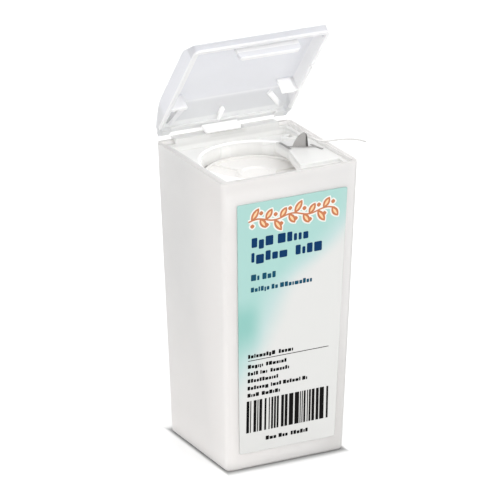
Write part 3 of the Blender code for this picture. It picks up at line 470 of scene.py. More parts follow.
def hinge_axis():
    """A point on the lid's hinge axis."""
    return Vector(next(joint["pos_m"] for joint in frame["joints"] if joint["name"] == "lid_hinge"))


# Camera and studio

def make_camera():
    azimuth = math.radians(CAMERA_AZIMUTH_DEGREES)
    elevation = math.radians(CAMERA_ELEVATION_DEGREES)
    away = Vector((
        math.sin(azimuth) * math.cos(elevation),
        -math.cos(azimuth) * math.cos(elevation),
        math.sin(elevation),
    ))
    data = bpy.data.cameras.new("camera")
    data.sensor_width = SENSOR_MILLIMETRES
    data.lens = LENS_MILLIMETRES
    data.clip_end = CLIP_END
    camera = add_object("camera", data)
    camera.location = CAMERA_PLACE
    camera.rotation_euler = away.to_track_quat("Z", "Y").to_euler()
    bpy.context.scene.camera = camera


def make_sky():
    """A plain white studio: brightest overhead, a little brighter on the right, dimmer below."""
    world = bpy.data.worlds.new("white studio")
    bpy.context.scene.world = world
    world.use_nodes = True
    tree = world.node_tree
    direction = add_node(tree, "ShaderNodeTexCoord", output="Generated")
    across, along, up = add_node(tree, "ShaderNodeSeparateXYZ", direction).node.outputs
    upper = add_node(tree, "ShaderNodeMapRange", up, 0.0, 1.0, SKY_HORIZON, SKY_ZENITH, **SOFT)
    lower = add_node(tree, "ShaderNodeMapRange", up, -1.0, 0.0, SKY_DOWN - SKY_HORIZON, 0.0)
    side = add_node(tree, "ShaderNodeMapRange", across, -1.0, 1.0, -SKY_SIDE, SKY_SIDE)
    front = add_node(tree, "ShaderNodeMapRange", along, *SKY_FRONT_SPAN, SKY_FRONT, 0.0, **SOFT)
    background = tree.nodes["Background"]
    background.inputs["Color"].default_value = linear("#FFFFFF")
    tree.links.new(joined(tree, "ADD", upper, lower, side, front), background.inputs["Strength"])
    bpy.context.scene.view_settings.view_transform = "Standard"


def make_floor():
    """Matt white paper sweep, with a thin contact shadow painted round the box's foot where it stands."""
    half = FLOOR_SIZE / 2
    mesh = bpy.data.meshes.new("floor")
    corners = [(-half, -half, 0), (half, -half, 0), (half, half, 0), (-half, half, 0)]
    mesh.from_pydata(corners, [], [(0, 1, 2, 3)])
    floor = add_object("floor", mesh)
    material, tree, shader = new_material("white paper", "#F6F6F6", 0.9, Specular_IOR_Level=0.0)
    # Painted shadow: the paper darkens in a thin band round the box's foot
    across, along, _ = place_parts(tree)
    across = add_node(tree, "ShaderNodeMath", across, operation="ABSOLUTE")
    along = add_node(tree, "ShaderNodeMath", along, operation="ABSOLUTE")
    beside = joined(tree, "SUBTRACT", across, FOOT_HALF_WIDTH)
    before = joined(tree, "SUBTRACT", along, FOOT_HALF_DEPTH)
    away = joined(tree, "MAXIMUM", beside, joined(tree, "MULTIPLY", before, CONTACT_SHADOW_FRONT_SHARE))
    clear_of_shadow = add_node(tree, "ShaderNodeMapRange", away, 0.0, CONTACT_SHADOW_REACH, 0.0, 1.0)
    tree.links.new(colours_along(tree, clear_of_shadow, CONTACT_SHADOW_COLOURS), shader.inputs["Base Color"])
    set_material(floor, material)


# Floss

def floss_places():
    """The eyelet's middle and the rim's height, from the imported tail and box."""
    low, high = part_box("floss_tail")
    middle = Vector((low.x + FLOSS_DIAMETER / 2, high.y - FLOSS_DIAMETER / 2 - TAIL_ROUTE[0][1], 0.0))
    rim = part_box("box_body")[1].z
    return middle, rim


def floss_curve(name, points):
    """A round strand on one smooth curve through its points."""
    curve = bpy.data.curves.new(name, "CURVE")
    curve.dimensions = "3D"
    curve.bevel_depth = FLOSS_DIAMETER / 2
    curve.bevel_resolution = FLOSS_SIDES
    curve.resolution_u = FLOSS_STEPS
    curve.use_fill_caps = True
    spline = curve.splines.new("BEZIER")
    spline.bezier_points.add(len(points) - 1)
    padded = [points[0] * 2 - points[1], *points, points[-1] * 2 - points[-2]]
    for k, knot in enumerate(spline.bezier_points):
        reach = (padded[k + 2] - padded[k]) / 6
        knot.co = points[k]
        knot.handle_left = points[k] - reach
        knot.handle_right = points[k] + reach
    return add_object(name, curve)


def nylon_floss():
    """Unwaxed nylon: soft white, matt, a loose bundle of fine fibres with a slight twist."""
    material, tree, shader = new_material(
        "nylon floss", "#F4F3F0", 0.62,
        Subsurface_Weight=0.15, Subsurface_Radius=(1, 1, 1), Subsurface_Scale=FLOSS_DIAMETER / 2,
        Sheen_Weight=0.25, Sheen_Roughness=0.4,
    )
    place = object_place(tree)
    lay = {"Vector": place, "Scale": 1 / TWIST_PITCH / 2, "Distortion": 2.0, "Detail": 2.0}
    twist = add_node(tree, "ShaderNodeTexWave", inputs=lay, output="Fac", bands_direction="DIAGONAL")
    fibres = pattern(tree, place, FIBRE_SIZE, detail=3.0)
    tint = colours_along(tree, fibres, [(0.25, "#BBBAB8"), (0.75, "#D2D1CF")])
    tree.links.new(tint, shader.inputs["Base Color"])
    height = joined(tree, "ADD", twist, fibres)
    bumped(tree, shader, height, FIBRE_SIZE / 3, strength=0.6, edge=FLOSS_DIAMETER / 20)
    # Painted glow: emission that lifts the floss out of shade inside the box and just past the eyelet
    across, _, up = place_parts(tree)
    middle, rim = floss_places()
    start, end = [middle.x + reach for reach in FLOSS_GLOW_SPAN]
    within = add_node(tree, "ShaderNodeMapRange", up, rim - DECK_DROP, rim - DECK_DROP / 2, 1.0, 0.0)
    beside = add_node(tree, "ShaderNodeMapRange", across, start, end, 1.0, 0.0, **SOFT)
    painted_glow(material, joined(tree, "MULTIPLY", joined(tree, "MAXIMUM", within, beside), FLOSS_GLOW))
    return material


def make_tail(material):
    middle, rim = floss_places()
    points = [middle + Vector((x, y, rim + height)) for x, y, height in TAIL_ROUTE]
    tail = floss_curve("floss_tail_strand", points)
    set_material(tail, material)
    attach(tail, "box")
    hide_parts("floss_tail")


def make_feed(material):
    middle, rim = floss_places()
    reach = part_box("floss_winding")[1].x + FLOSS_GAP + FLOSS_DIAMETER / 2
    angle = math.radians(FEED_START_DEGREES)
    start = Vector((math.cos(angle), math.sin(angle), 0)) * reach
    points = [start.lerp(middle, share) + Vector((0, 0, rim + height)) for share, height in FEED_ROUTE]
    feed = floss_curve("floss_feed_strand", points)
    set_material(feed, material)
    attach(feed, "box")
    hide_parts("floss_feed")


def make_winding(material):
    """The wound floss: its side shows the turns as one long helix between two rounded shoulders."""
    low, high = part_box("floss_winding")
    outer = high.x
    shoulder = outer - WINDING_SHOULDER
    span = high.z - low.z - 2 * WINDING_SHOULDER
    rows = round(span / WINDING_PITCH) * WINDING_STEPS_PER_TURN
    bm = bmesh.new()
    rings = []

    def ring(radius_at, z):
        verts = []
        for side in range(WINDING_SIDES):
            share = side / WINDING_SIDES
            angle = 2 * math.pi * share
            radius = radius_at(share)
            verts.append(bm.verts.new((radius * math.cos(angle), radius * math.sin(angle), z)))
        rings.append(verts)

    ring(lambda share: WINDING_BORE, low.z)
    ring(lambda share: shoulder, low.z)
    for row in range(rows + 1):
        phase = row / WINDING_STEPS_PER_TURN
        ring(
            lambda share: outer - WINDING_RELIEF * (1 + math.cos(2 * math.pi * (phase + share))) / 2,
            low.z + WINDING_SHOULDER + span * row / rows,
        )
    ring(lambda share: shoulder, high.z)
    ring(lambda share: WINDING_BORE, high.z)
    rings.append(rings[0])
    for below, above in zip(rings, rings[1:]):
        for side in range(WINDING_SIDES):
            after = (side + 1) % WINDING_SIDES
            bm.faces.new((below[side], below[after], above[after], above[side]))
    winding = add_object("floss_winding_turns", mesh_of(bm, "floss_winding_turns", 60))
    set_material(winding, material)
    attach(winding, "spool")
    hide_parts("floss_winding")


# Moulded plastics

def moulded(name, colours, roughness, **values):
    """A moulded plastic: faint clouds in its colour, a satin grain, a slow ripple and soft edges."""
    material, tree, shader = new_material(name, colours[0], roughness, Subsurface_Radius=(1, 1, 1), **values)
    place = object_place(tree)
    clouds = pattern(tree, place, CLOUD_SIZE)
    tint = colours_along(tree, clouds, list(zip(NOISE_SPAN, colours)))
    tree.links.new(tint, shader.inputs["Base Color"])
    flow = pattern(tree, place, FLOW_SIZE, detail=0.0)
    glosses = roughness * (1 - GLOSS_CHANGE), roughness * (1 + GLOSS_CHANGE)
    gloss = add_node(tree, "ShaderNodeMapRange", flow, *NOISE_SPAN, *glosses)
    tree.links.new(gloss, shader.inputs["Roughness"])
    grain = pattern(tree, place, MOULD_GRAIN)
    bumped(tree, shader, grain, MOULD_GRAIN_HEIGHT, strength=0.5)
    return material


def tinted(material, mask, colour):
    """Mixes a second colour into a material where a mask is 1.

    The mix node's colours are its inputs 6 and 7 and its output 2.
    """
    tree = material.node_tree
    base = tree.nodes["Principled BSDF"].inputs["Base Color"]
    colours = {6: base.links[0].from_socket, 7: linear(colour)}
    mixed = add_node(tree, "ShaderNodeMix", mask, inputs=colours, output=2, data_type="RGBA")
    tree.links.new(mixed, base)


def painted_glow(material, strength):
    """Adds a painted glow: emission in place of the faint light that reaches a plastic through the walls
    around it.
    """
    tree = material.node_tree
    shader = tree.nodes["Principled BSDF"]
    shader.inputs["Emission Color"].default_value = linear("#FFFDFA")
    tree.links.new(strength, shader.inputs["Emission Strength"])


def painted_glow_in_mouth(tree, across, along, up):
    """Painted glow inside the box's mouth, on its right and back walls."""
    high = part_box("box_body")[1]
    heights = high.z - MOUTH_DEPTH, high.z - MOUTH_DEPTH / 2
    masks = [add_node(tree, "ShaderNodeMapRange", up, *heights, 0.0, 1.0)]
    far = []
    for part, reach in ((across, high.x), (along, high.y)):
        away = add_node(tree, "ShaderNodeMath", part, operation="ABSOLUTE")
        span = reach - MOUTH_SET, reach - MOUTH_SET * MOUTH_SET_SHARE
        masks.append(add_node(tree, "ShaderNodeMapRange", away, *span, 0.0, 1.0))
        span = [reach - MOUTH_SET * share for share in MOUTH_FAR_SHARES]
        far.append(add_node(tree, "ShaderNodeMapRange", part, *span, 0.0, 1.0))
    masks.append(joined(tree, "MAXIMUM", *far))
    masks.append(add_node(tree, "ShaderNodeMapRange", along, *MOUTH_BACK_SPAN, 0.0, MOUTH_GLOW))
    return joined(tree, "MULTIPLY", *masks)


def frosted_polypropylene():
    """The box: natural polypropylene, frosted and satin, with painted light towards its front edge, its foot
    and under its rim, and painted shade low on the right, along its right edge and on top of its rim.
    """
    material = moulded(
        "natural polypropylene", ("#E1E0DF", "#E5E4E3"), 0.60,
        Subsurface_Weight=0.50, Subsurface_Scale=WALL_SCATTER, Transmission_Weight=0.30, IOR=1.49,
    )
    tree = material.node_tree
    across, along, up = place_parts(tree)
    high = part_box("box_body")[1]
    half = add_node(tree, "ShaderNodeMapRange", up, 0.0, high.z, high.x - BOX_DRAFT, high.x)
    from_left = joined(tree, "ADD", across, half)
    from_right = joined(tree, "SUBTRACT", across, half)
    left = add_node(tree, "ShaderNodeMapRange", from_left, *LEFT_FACE_SPAN, 0.0, 1.0)
    near = add_node(tree, "ShaderNodeMapRange", along, *FRONT_SPAN, 0.0, 1.0, **SOFT)
    side = add_node(tree, "ShaderNodeMapRange", across, *SIDE_SPAN, 1.0, SIDE_SHARE, **SOFT)

    # Painted light: lighter towards the front edge and the foot, less so on the right; whiter still on the
    # left face, less near its top
    foot = add_node(tree, "ShaderNodeMapRange", up, 0.0, FOOT_PAINTED_LIGHT_HEIGHT, FOOT_PAINTED_LIGHT_SHARE, 0.0)
    painted_light = joined(tree, "MAXIMUM", near, foot)
    tinted(material, joined(tree, "MULTIPLY", painted_light, side), "#E9E6E4")
    upper = add_node(tree, "ShaderNodeMapRange", up, *UPPER_SPAN, 1.0, UPPER_SHARE, **SOFT)
    tinted(material, joined(tree, "MULTIPLY", painted_light, left, upper), "#F3F0EE")
    # Painted light: a lighter band below the rim, on the front and not on the left face
    painted_light_under_rim = joined(
        tree, "MULTIPLY",
        add_node(tree, "ShaderNodeMapRange", up, *UNDER_RIM_SPAN, 0.0, UNDER_RIM_SHARE, **SOFT),
        add_node(tree, "ShaderNodeMapRange", up, *AT_RIM_SPAN, 1.0, 0.0, **SOFT),
        joined(tree, "SUBTRACT", 1.0, left),
        near,
        side,
    )
    tinted(material, painted_light_under_rim, "#F7F5F3")
    # Painted shade: darker low on the right
    painted_shade_low_right = joined(
        tree, "MULTIPLY",
        add_node(tree, "ShaderNodeMapRange", across, *LOW_RIGHT_SPAN, 0.0, 1.0, **SOFT),
        add_node(tree, "ShaderNodeMapRange", up, *LOW_RIGHT_HEIGHTS, 1.0, 0.0, **SOFT),
    )
    tinted(material, painted_shade_low_right, "#D7D5D3")
    # Painted shade: a thin darker line just inside the right edge, towards the front
    edge = joined(
        tree, "MULTIPLY",
        add_node(tree, "ShaderNodeMapRange", from_right, *RIGHT_EDGE_SPAN, 0.0, 1.0),
        add_node(tree, "ShaderNodeMapRange", along, *EDGE_FRONT_SPAN, 0.0, 1.0),
    )
    tinted(material, edge, "#CBC9C8")
    # Painted shade: the top of the rim is a little darker
    rim = add_node(tree, "ShaderNodeMapRange", up, high.z - RIM_EDGE, high.z - RIM_EDGE / 4, 0.0, 1.0)
    tinted(material, rim, "#DEDCDA")

    # Painted glow: emission at the foot and low towards the front of the left face, low all round, low and
    # more on the left, and in the mouth
    at_foot = add_node(tree, "ShaderNodeMapRange", up, 0.0, FOOT_GLOW_HEIGHT, FOOT_GLOW, 0.0, **SOFT)
    low = add_node(tree, "ShaderNodeMapRange", up, 0.0, LOW_GLOW_HEIGHT, LOW_GLOW, 0.0)
    low_front = joined(tree, "MULTIPLY", low, near)
    on_left = joined(tree, "MULTIPLY", joined(tree, "ADD", at_foot, low_front), left)
    even = add_node(tree, "ShaderNodeMapRange", up, 0.0, EVEN_GLOW_HEIGHT, EVEN_GLOW, 0.0)
    under = add_node(tree, "ShaderNodeMapRange", up, 0.0, UNDER_GLOW_HEIGHT, UNDER_GLOW, 0.0)
    walls = joined(tree, "MAXIMUM", on_left, even, joined(tree, "MULTIPLY", under, side))
    painted_glow(material, joined(tree, "ADD", painted_glow_in_mouth(tree, across, along, up), walls))
    return material


def lip_of_cap(tree, across, along, up, deck):
    """The thin lip round the cap's opening."""
    flat = add_node(tree, "ShaderNodeCombineXYZ", joined(tree, "SUBTRACT", across, LIP_OFFSET), along)
    radius = add_node(tree, "ShaderNodeVectorMath", flat, output="Value", operation="LENGTH")
    off = joined(tree, "SUBTRACT", radius, LIP_RADIUS)
    off = add_node(tree, "ShaderNodeMath", off, operation="ABSOLUTE")
    return joined(
        tree, "MULTIPLY",
        add_node(tree, "ShaderNodeMapRange", off, LIP_HALF, LIP_HALF * 1.5, 1.0, 0.0, **SOFT),
        add_node(tree, "ShaderNodeMapRange", up, deck - LIP_HALF, deck, 0.0, 1.0, **SOFT),
        add_node(tree, "ShaderNodeMapRange", up, deck + LIP_HALF * 2, deck + LIP_HALF * 3, 1.0, 0.0, **SOFT),
    )


def painted_glow_in_cap(tree, across, along, up, deck, lip):
    """Painted glow, in place of light from within the box: below the deck, on its left, in its back right
    corner and in the lip.
    """
    heights = deck - CAP_GLOW_DEPTH, deck
    within = add_node(tree, "ShaderNodeMapRange", up, *heights, CAP_GLOW, DECK_GLOW, **SOFT)
    deck_left = joined(
        tree, "MULTIPLY",
        add_node(tree, "ShaderNodeMapRange", across, *DECK_LEFT_SPAN, DECK_LEFT_GLOW, 0.0),
        add_node(tree, "ShaderNodeMapRange", up, deck + LIP_HALF, deck + LIP_HALF * 2, 1.0, 0.0),
    )
    corner = joined(
        tree, "MULTIPLY",
        add_node(tree, "ShaderNodeMapRange", across, *CORNER_RIGHT_SPAN, 0.0, 1.0, **SOFT),
        add_node(tree, "ShaderNodeMapRange", along, *CORNER_BACK_SPAN, 0.0, 1.0, **SOFT),
        CORNER_GLOW,
    )
    return joined(tree, "MAXIMUM", within, deck_left, corner, joined(tree, "MULTIPLY", lip, LIP_GLOW))


def white_polypropylene():
    """The cap base: the lid's own polypropylene, with a painted highlight on the lip of its opening, painted
    shade on its raised parts and land, and a painted glow below its deck and in places on it.
    """
    material = moulded(
        "cap polypropylene", ("#EEEEEC", "#F2F2F0"), 0.38,
        Subsurface_Weight=0.60, Subsurface_Scale=WALL_SCATTER, IOR=1.49,
    )
    tree = material.node_tree
    across, along, up = place_parts(tree)
    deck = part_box("box_body")[1].z - DECK_DROP
    lip = lip_of_cap(tree, across, along, up, deck)
    # Painted highlight: the lip round the opening is painted white where it catches the light
    tinted(material, lip, "#FFFFFF")
    # Painted shade: darker on the parts raised above the deck, darker still on the land under the lid, less
    # so beside the strap
    heights = [deck + DECK_DROP * share for share in RAISED_SHARES]
    raised = add_node(tree, "ShaderNodeMapRange", up, *heights, 0.0, 1.0, **SOFT)
    tinted(material, raised, "#DEDEDC")
    heights = [deck + DECK_DROP * share for share in LAND_SHARES]
    land = joined(
        tree, "MULTIPLY",
        add_node(tree, "ShaderNodeMapRange", up, *heights, 0.0, 1.0),
        add_node(tree, "ShaderNodeMapRange", along, *LAND_SPAN, 0.0, 1.0),
    )
    tinted(material, land, "#D0D0CE")
    away = add_node(tree, "ShaderNodeMath", across, operation="ABSOLUTE")
    beside = add_node(tree, "ShaderNodeMapRange", away, *BESIDE_STRAP_SPAN, 0.0, 1.0)
    tinted(material, joined(tree, "MULTIPLY", land, beside), "#EAEAE8")
    painted_glow(material, painted_glow_in_cap(tree, across, along, up, deck, lip))
    return material


def hinge_polypropylene():
    """The hinge: the same polypropylene, stretched thin and white, with a painted glow on its front-facing
    side in place of the light that comes through it, and painted shade on its rear-facing side.
    """
    material = moulded(
        "hinge polypropylene", ("#FEFEFC", "#FFFFFF"), 0.38,
        Subsurface_Weight=1.0, Subsurface_Scale=HINGE_SCATTER, IOR=1.49,
    )
    tree = material.node_tree
    away = add_node(tree, "ShaderNodeMath", place_parts(tree)[0], operation="ABSOLUTE")
    light = add_node(tree, "ShaderNodeMapRange", away, *STRAP_END_SPAN, STRAP_GLOW, WEB_GLOW)
    facing = add_node(tree, "ShaderNodeTexCoord", output="Normal")
    rearward = add_node(tree, "ShaderNodeSeparateXYZ", facing, output="Y")
    inner = add_node(tree, "ShaderNodeMapRange", rearward, 0.0, HINGE_BACK_TURN, 1.0, 0.0)
    # Painted shade on the rear-facing side; painted glow, stronger on the strap, on the front-facing side
    tinted(material, joined(tree, "SUBTRACT", 1.0, inner), "#DCDCDB")
    painted_glow(material, joined(tree, "MULTIPLY", light, inner))
    return material


def lid_places(tree):
    """How far a point of the lid is from its back edge, and how high above its rim plane, lid closed."""
    axis = hinge_axis()
    angle = math.radians(LID_OPEN_DEGREES)
    ways = [
        (Vector((0.0, -math.cos(angle), math.sin(angle))), LID_BACK_BEHIND),
        (Vector((0.0, math.sin(angle), math.cos(angle))), LID_RIM_DROP),
    ]
    here = object_place(tree)
    places = []
    for way, offset in ways:
        along = add_node(
            tree, "ShaderNodeVectorMath", here, tuple(way), output="Value", operation="DOT_PRODUCT",
        )
        places.append(joined(tree, "SUBTRACT", along, axis.dot(way) - offset))
    return places


def lid_walls(tree, forward, height, across, away, before):
    """Where the lid gets painted light: its walls and ribs below its roof, short of its nose, fainter on the
    left.
    """
    roof = joined(
        tree, "MINIMUM",
        add_node(tree, "ShaderNodeMapRange", forward, 0.0, LID_BACK_SLOPE, LID_BACK_HEIGHT, LID_HEIGHT),
        add_node(tree, "ShaderNodeMapRange", forward, *LID_FRONT_SPAN, LID_HEIGHT, LID_FRONT_HEIGHT),
    )
    below = joined(tree, "SUBTRACT", roof, height)
    past_strip = joined(
        tree, "MAXIMUM",
        add_node(tree, "ShaderNodeMapRange", forward, *LID_PAST_STRIP_SPAN, 0.0, 1.0, **SOFT),
        add_node(tree, "ShaderNodeMapRange", away, *LID_BETWEEN_SPAN, 1.0, 0.0),
    )
    return joined(
        tree, "MULTIPLY",
        add_node(tree, "ShaderNodeMapRange", below, *LID_WALL_SPAN, 0.0, 1.0, **SOFT),
        add_node(tree, "ShaderNodeMapRange", across, LID_LEFT, LID_LEFT + LID_WALL, 0.0, 1.0),
        before,
        past_strip,
        add_node(tree, "ShaderNodeMapRange", across, *LID_LEFT_RIB_SPAN, LID_LEFT_RIB_SHARE, 1.0),
    )


def clear_polypropylene():
    """The lid: thin clear polypropylene, faintly blue on its roof, with painted shade on its back slope and
    nose, painted light on its walls and ribs, a painted highlight on its rim and a painted glow.
    """
    material = moulded(
        "clear polypropylene", ("#F0F1F6", "#F3F4F9"), 0.36,
        Transmission_Weight=0.45, Subsurface_Weight=0.50, Subsurface_Scale=WALL_SCATTER, IOR=1.49,
    )
    tree = material.node_tree
    forward, height = lid_places(tree)
    across = place_parts(tree)[0]
    away = add_node(tree, "ShaderNodeMath", across, operation="ABSOLUTE")
    slope = add_node(tree, "ShaderNodeMapRange", forward, *LID_SLOPE_SPAN, 1.0, 0.0, **SOFT)
    nose = add_node(tree, "ShaderNodeMapRange", forward, *LID_NOSE_SPAN, 0.0, 1.0)
    pale = lid_walls(tree, forward, height, across, away, joined(tree, "SUBTRACT", 1.0, nose))
    inside = add_node(tree, "ShaderNodeMapRange", away, *LID_INSIDE_SPAN, 0.0, 1.0)
    upper = add_node(tree, "ShaderNodeMapRange", height, *LID_RIM_UPPER_SPAN, 1.0, 0.0, **SOFT)
    lower = add_node(tree, "ShaderNodeMapRange", height, *LID_RIM_LOWER_SPAN, 0.0, 1.0, **SOFT)
    tip = add_node(tree, "ShaderNodeMapRange", height, *LID_TAB_TIP_SPAN, 1.0, 0.0, **SOFT)
    past_strip = add_node(tree, "ShaderNodeMapRange", forward, *LID_STRIP_SPAN, 0.0, 1.0, **SOFT)
    strip = joined(tree, "MULTIPLY", joined(tree, "SUBTRACT", 1.0, past_strip), inside)
    rim = joined(tree, "MAXIMUM", joined(tree, "MULTIPLY", upper, lower, past_strip), tip)
    # Painted shade on the back slope and the nose, painted light on the walls and ribs, a painted highlight
    # on the rim and the tab's tip
    tinted(material, slope, "#E3E4E6")
    tinted(material, nose, "#DCDDE1")
    tinted(material, joined(tree, "MULTIPLY", pale, LID_PAINTED_LIGHT_SHARE), "#FAFAFB")
    tinted(material, rim, "#FFFFFF")
    tinted(material, strip, "#F2F3F3")

    # Painted glow: emission on the rim, on the walls and ribs of the back half, on the tab below the rim and
    # on the right wall
    behind = add_node(tree, "ShaderNodeMapRange", forward, *LID_BEHIND_SPAN, 1.0, 0.0, **SOFT)
    on_right = add_node(tree, "ShaderNodeMapRange", across, *LID_RIGHT_WALL_SPAN, 0.0, LID_WALL_LIGHT)
    painted_glow(material, joined(
        tree, "ADD",
        joined(tree, "MULTIPLY", rim, LID_RIM_LIGHT),
        joined(tree, "MULTIPLY", pale, behind, inside, LID_RIB_LIGHT),
        joined(tree, "MULTIPLY", joined(tree, "SUBTRACT", 1.0, lower), LID_TAB_LIGHT),
        joined(tree, "MULTIPLY", pale, on_right),
    ))
    return material


def white_polystyrene():
    """The spool: white polystyrene with a soft gloss."""
    return moulded(
        "white polystyrene", ("#F3F1EE", "#F7F5F2"), 0.32,
        Subsurface_Weight=0.10, Subsurface_Scale=SPOOL_SCATTER, IOR=1.59,
    )


# Metal and film

def stainless_steel():
    """The cutter: thin stamped stainless strip with fine rolling lines, darker at the far end of its fin."""
    material, tree, shader = new_material("stainless steel", "#9D9B99", 0.30, Metallic=1.0)
    place = object_place(tree)
    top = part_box("cutter")[1].z
    turn = math.radians(FIN_TURN_DEGREES)
    way = (math.cos(turn), math.sin(turn), 0.0)
    ahead = add_node(tree, "ShaderNodeVectorMath", place, way, output="Value", operation="DOT_PRODUCT")
    along = joined(tree, "SUBTRACT", ahead, FIN_START[0] * way[0] + FIN_START[1] * way[1])
    up = place_parts(tree)[2]
    dark_end = joined(
        tree, "MULTIPLY",
        add_node(tree, "ShaderNodeMapRange", along, *FIN_DARK_END_SPAN, 0.0, 1.0, **SOFT),
        add_node(tree, "ShaderNodeMapRange", up, top - FIN_HEIGHT, top - FIN_HEIGHT * 0.9, 0.0, 1.0),
    )
    tint = colours_along(tree, dark_end, [(0.0, "#B2B0AF"), (1.0, "#5A5857")])
    tree.links.new(tint, shader.inputs["Base Color"])
    drawn_out = {"Vector": place, "Scale": (1.0, 1.0, ROLLING_STRETCH)}
    lines = pattern(tree, add_node(tree, "ShaderNodeMapping", inputs=drawn_out), MOULD_GRAIN, detail=3.0)
    gloss = add_node(tree, "ShaderNodeMapRange", lines, *ROLLING_SPAN, *STEEL_ROUGHNESS)
    tree.links.new(gloss, shader.inputs["Roughness"])
    bumped(tree, shader, lines, MOULD_GRAIN_HEIGHT / 2, edge=EDGE_SOFTNESS / 3)
    return material


def printed_film():
    """The label: glossy film, printed teal at its top and left, fading to a cool white."""
    material, tree, shader = new_material(
        "printed polypropylene film", "#D4D5D4", 0.30, Coat_Weight=0.25, Coat_Roughness=0.15,
    )
    across, _, up = place_parts(tree)
    ripple = pattern(tree, object_place(tree), FLOW_SIZE, detail=1.0)
    reach = joined(
        tree, "ADD",
        add_node(tree, "ShaderNodeMapRange", up, *TEAL_HIGH_SPAN, *TEAL_HIGH_REACH),
        add_node(tree, "ShaderNodeMapRange", up, *TEAL_LOW_SPAN, *TEAL_LOW_REACH),
        add_node(tree, "ShaderNodeMapRange", ripple, *NOISE_SPAN, -TEAL_WANDER, TEAL_WANDER),
    )
    beyond = joined(tree, "SUBTRACT", across, reach)
    fade = add_node(tree, "ShaderNodeMapRange", beyond, *TEAL_FADE_SPAN, 0.0, 1.0, **SOFT)
    tint = colours_along(tree, fade, [(0.0, "#95BCB6"), (0.5, "#ABC1BF"), (1.0, "#C8C8C6")])
    tree.links.new(tint, shader.inputs["Base Color"])
    deep = joined(
        tree, "MULTIPLY",
        add_node(tree, "ShaderNodeMapRange", up, *DEEP_RISE_SPAN, 0.0, DEEP_SHARE, **SOFT),
        add_node(tree, "ShaderNodeMapRange", up, *DEEP_FALL_SPAN, 1.0, 0.0, **SOFT),
        add_node(tree, "ShaderNodeMapRange", across, *DEEP_SIDE_SPAN, 1.0, 0.0, **SOFT),
    )
    tinted(material, deep, "#76ADA5")
    bumped(tree, shader, ripple, MOULD_GRAIN_HEIGHT * 4, edge=EDGE_SOFTNESS / 4)
    return material


def ink(name, colour):
    """Printing ink on film: flat, with a faint mottle."""
    material, tree, shader = new_material(name, colour, 0.45, Specular_IOR_Level=0.05)
    mottle = pattern(tree, object_place(tree), MOULD_GRAIN, detail=3.0)
    bumped(tree, shader, mottle, INK / 4, edge=INK)
    return material


# Print on the label

def label_plane():
    """A point on the film's outer face and its normal."""
    mesh = frame["nodes"]["front_label"].data
    face = max((p for p in mesh.polygons if p.normal.y < 0), key=lambda p: p.area)
    return mesh.vertices[face.vertices[0]].co.copy(), face.normal.copy()


LABEL_POINT, LABEL_NORMAL = label_plane()


def on_label(x, z, lift):
    """The point of the film's face at x and z, lifted off it."""
    rise = LABEL_NORMAL.x * (x - LABEL_POINT.x) + LABEL_NORMAL.z * (z - LABEL_POINT.z)
    return Vector((x, LABEL_POINT.y + (lift - rise) / LABEL_NORMAL.y, z))


def rounded_bar(left, right, bottom, top, radius, steps):
    """The outline of a bar with rounded corners."""
    corners = [
        (right - radius, top - radius, 0.0),
        (left + radius, top - radius, 0.5),
        (left + radius, bottom + radius, 1.0),
        (right - radius, bottom + radius, 1.5),
    ]
    outline = []
    for x, z, turn in corners:
        for k in range(steps + 1):
            angle = math.pi * (turn + 0.5 * k / steps)
            outline.append((x + radius * math.cos(angle), z + radius * math.sin(angle)))
    return outline


def leaf(x, z, length, width, lean_degrees):
    """The outline of a leaf, leaning from upright."""
    lean = math.radians(lean_degrees)
    side = []
    for k in range(LEAF_STEPS + 1):
        share = k / LEAF_STEPS
        side.append((width / 2 * math.sin(math.pi * share) ** LEAF_FULLNESS, length * (share - 0.5)))
    outline = side + [(-a, b) for a, b in side[-2:0:-1]]
    return [
        (x + a * math.cos(lean) + b * math.sin(lean), z - a * math.sin(lean) + b * math.cos(lean))
        for a, b in outline
    ]


def stroke(points, width):
    """The outline of a curved stroke along its points."""
    left, right = [], []
    for k, (x, z) in enumerate(points):
        before = Vector(points[max(k - 1, 0)])
        after = Vector(points[min(k + 1, len(points) - 1)])
        along = (after - before).normalized() * (width / 2)
        left.append((x - along.y, z + along.x))
        right.append((x + along.y, z - along.x))
    return left + right[::-1]


def print_on_label(name, outlines, material, layer=0):
    """Outlines printed on the film, each a little above the one before so that none share a face."""
    bm = bmesh.new()
    for k, outline in enumerate(outlines):
        top = INK + LAYER * layer + LAYER * k / len(outlines)
        front = [bm.verts.new(on_label(x, z, top)) for x, z in outline]
        back = [bm.verts.new(on_label(x, z, 0.0)) for x, z in outline]
        bm.faces.new(front)
        bm.faces.new(back[::-1])
        for i in range(len(outline)):
            j = (i + 1) % len(outline)
            bm.faces.new((front[j], front[i], back[i], back[j]))
    piece = add_object(name, mesh_of(bm, name))
    set_material(piece, material)
    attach(piece, "box")


def greeked(rows, dice):
    """Rows of plain blocks in place of words, of uneven widths and heights like set type."""
    outlines = []
    for left, middle, height, words in rows:
        x = left
        low = middle - height / 2
        for word in words:
            end = x + word
            first = True
            while x < end - height * BLOCK_LEAST_SHARE:
                width = height * dice.choice(BLOCK_WIDTH_SHARES)
                tall = first or dice.random() < BLOCK_TALL_CHANCE
                tailed = not first and dice.random() < BLOCK_TAIL_CHANCE
                top = low + height * (1.0 if tall else BLOCK_LOW_SHARE)
                foot = low - height * (BLOCK_TAIL_SHARE if tailed else 0.0)
                right = min(x + width, end)
                outlines.append(rounded_bar(x, right, foot, top, height * BLOCK_CORNER_SHARE, 2))
                x = right + height * BLOCK_GAP_SHARE
                first = False
            x = end + height * WORD_GAP_SHARE
    return outlines


def make_headline(navy, dice):
    print_on_label("print_headline", greeked(HEADLINE_ROWS, dice), navy)


def make_notes(slate, dice):
    print_on_label("print_notes", greeked(NOTE_ROWS, dice), slate)


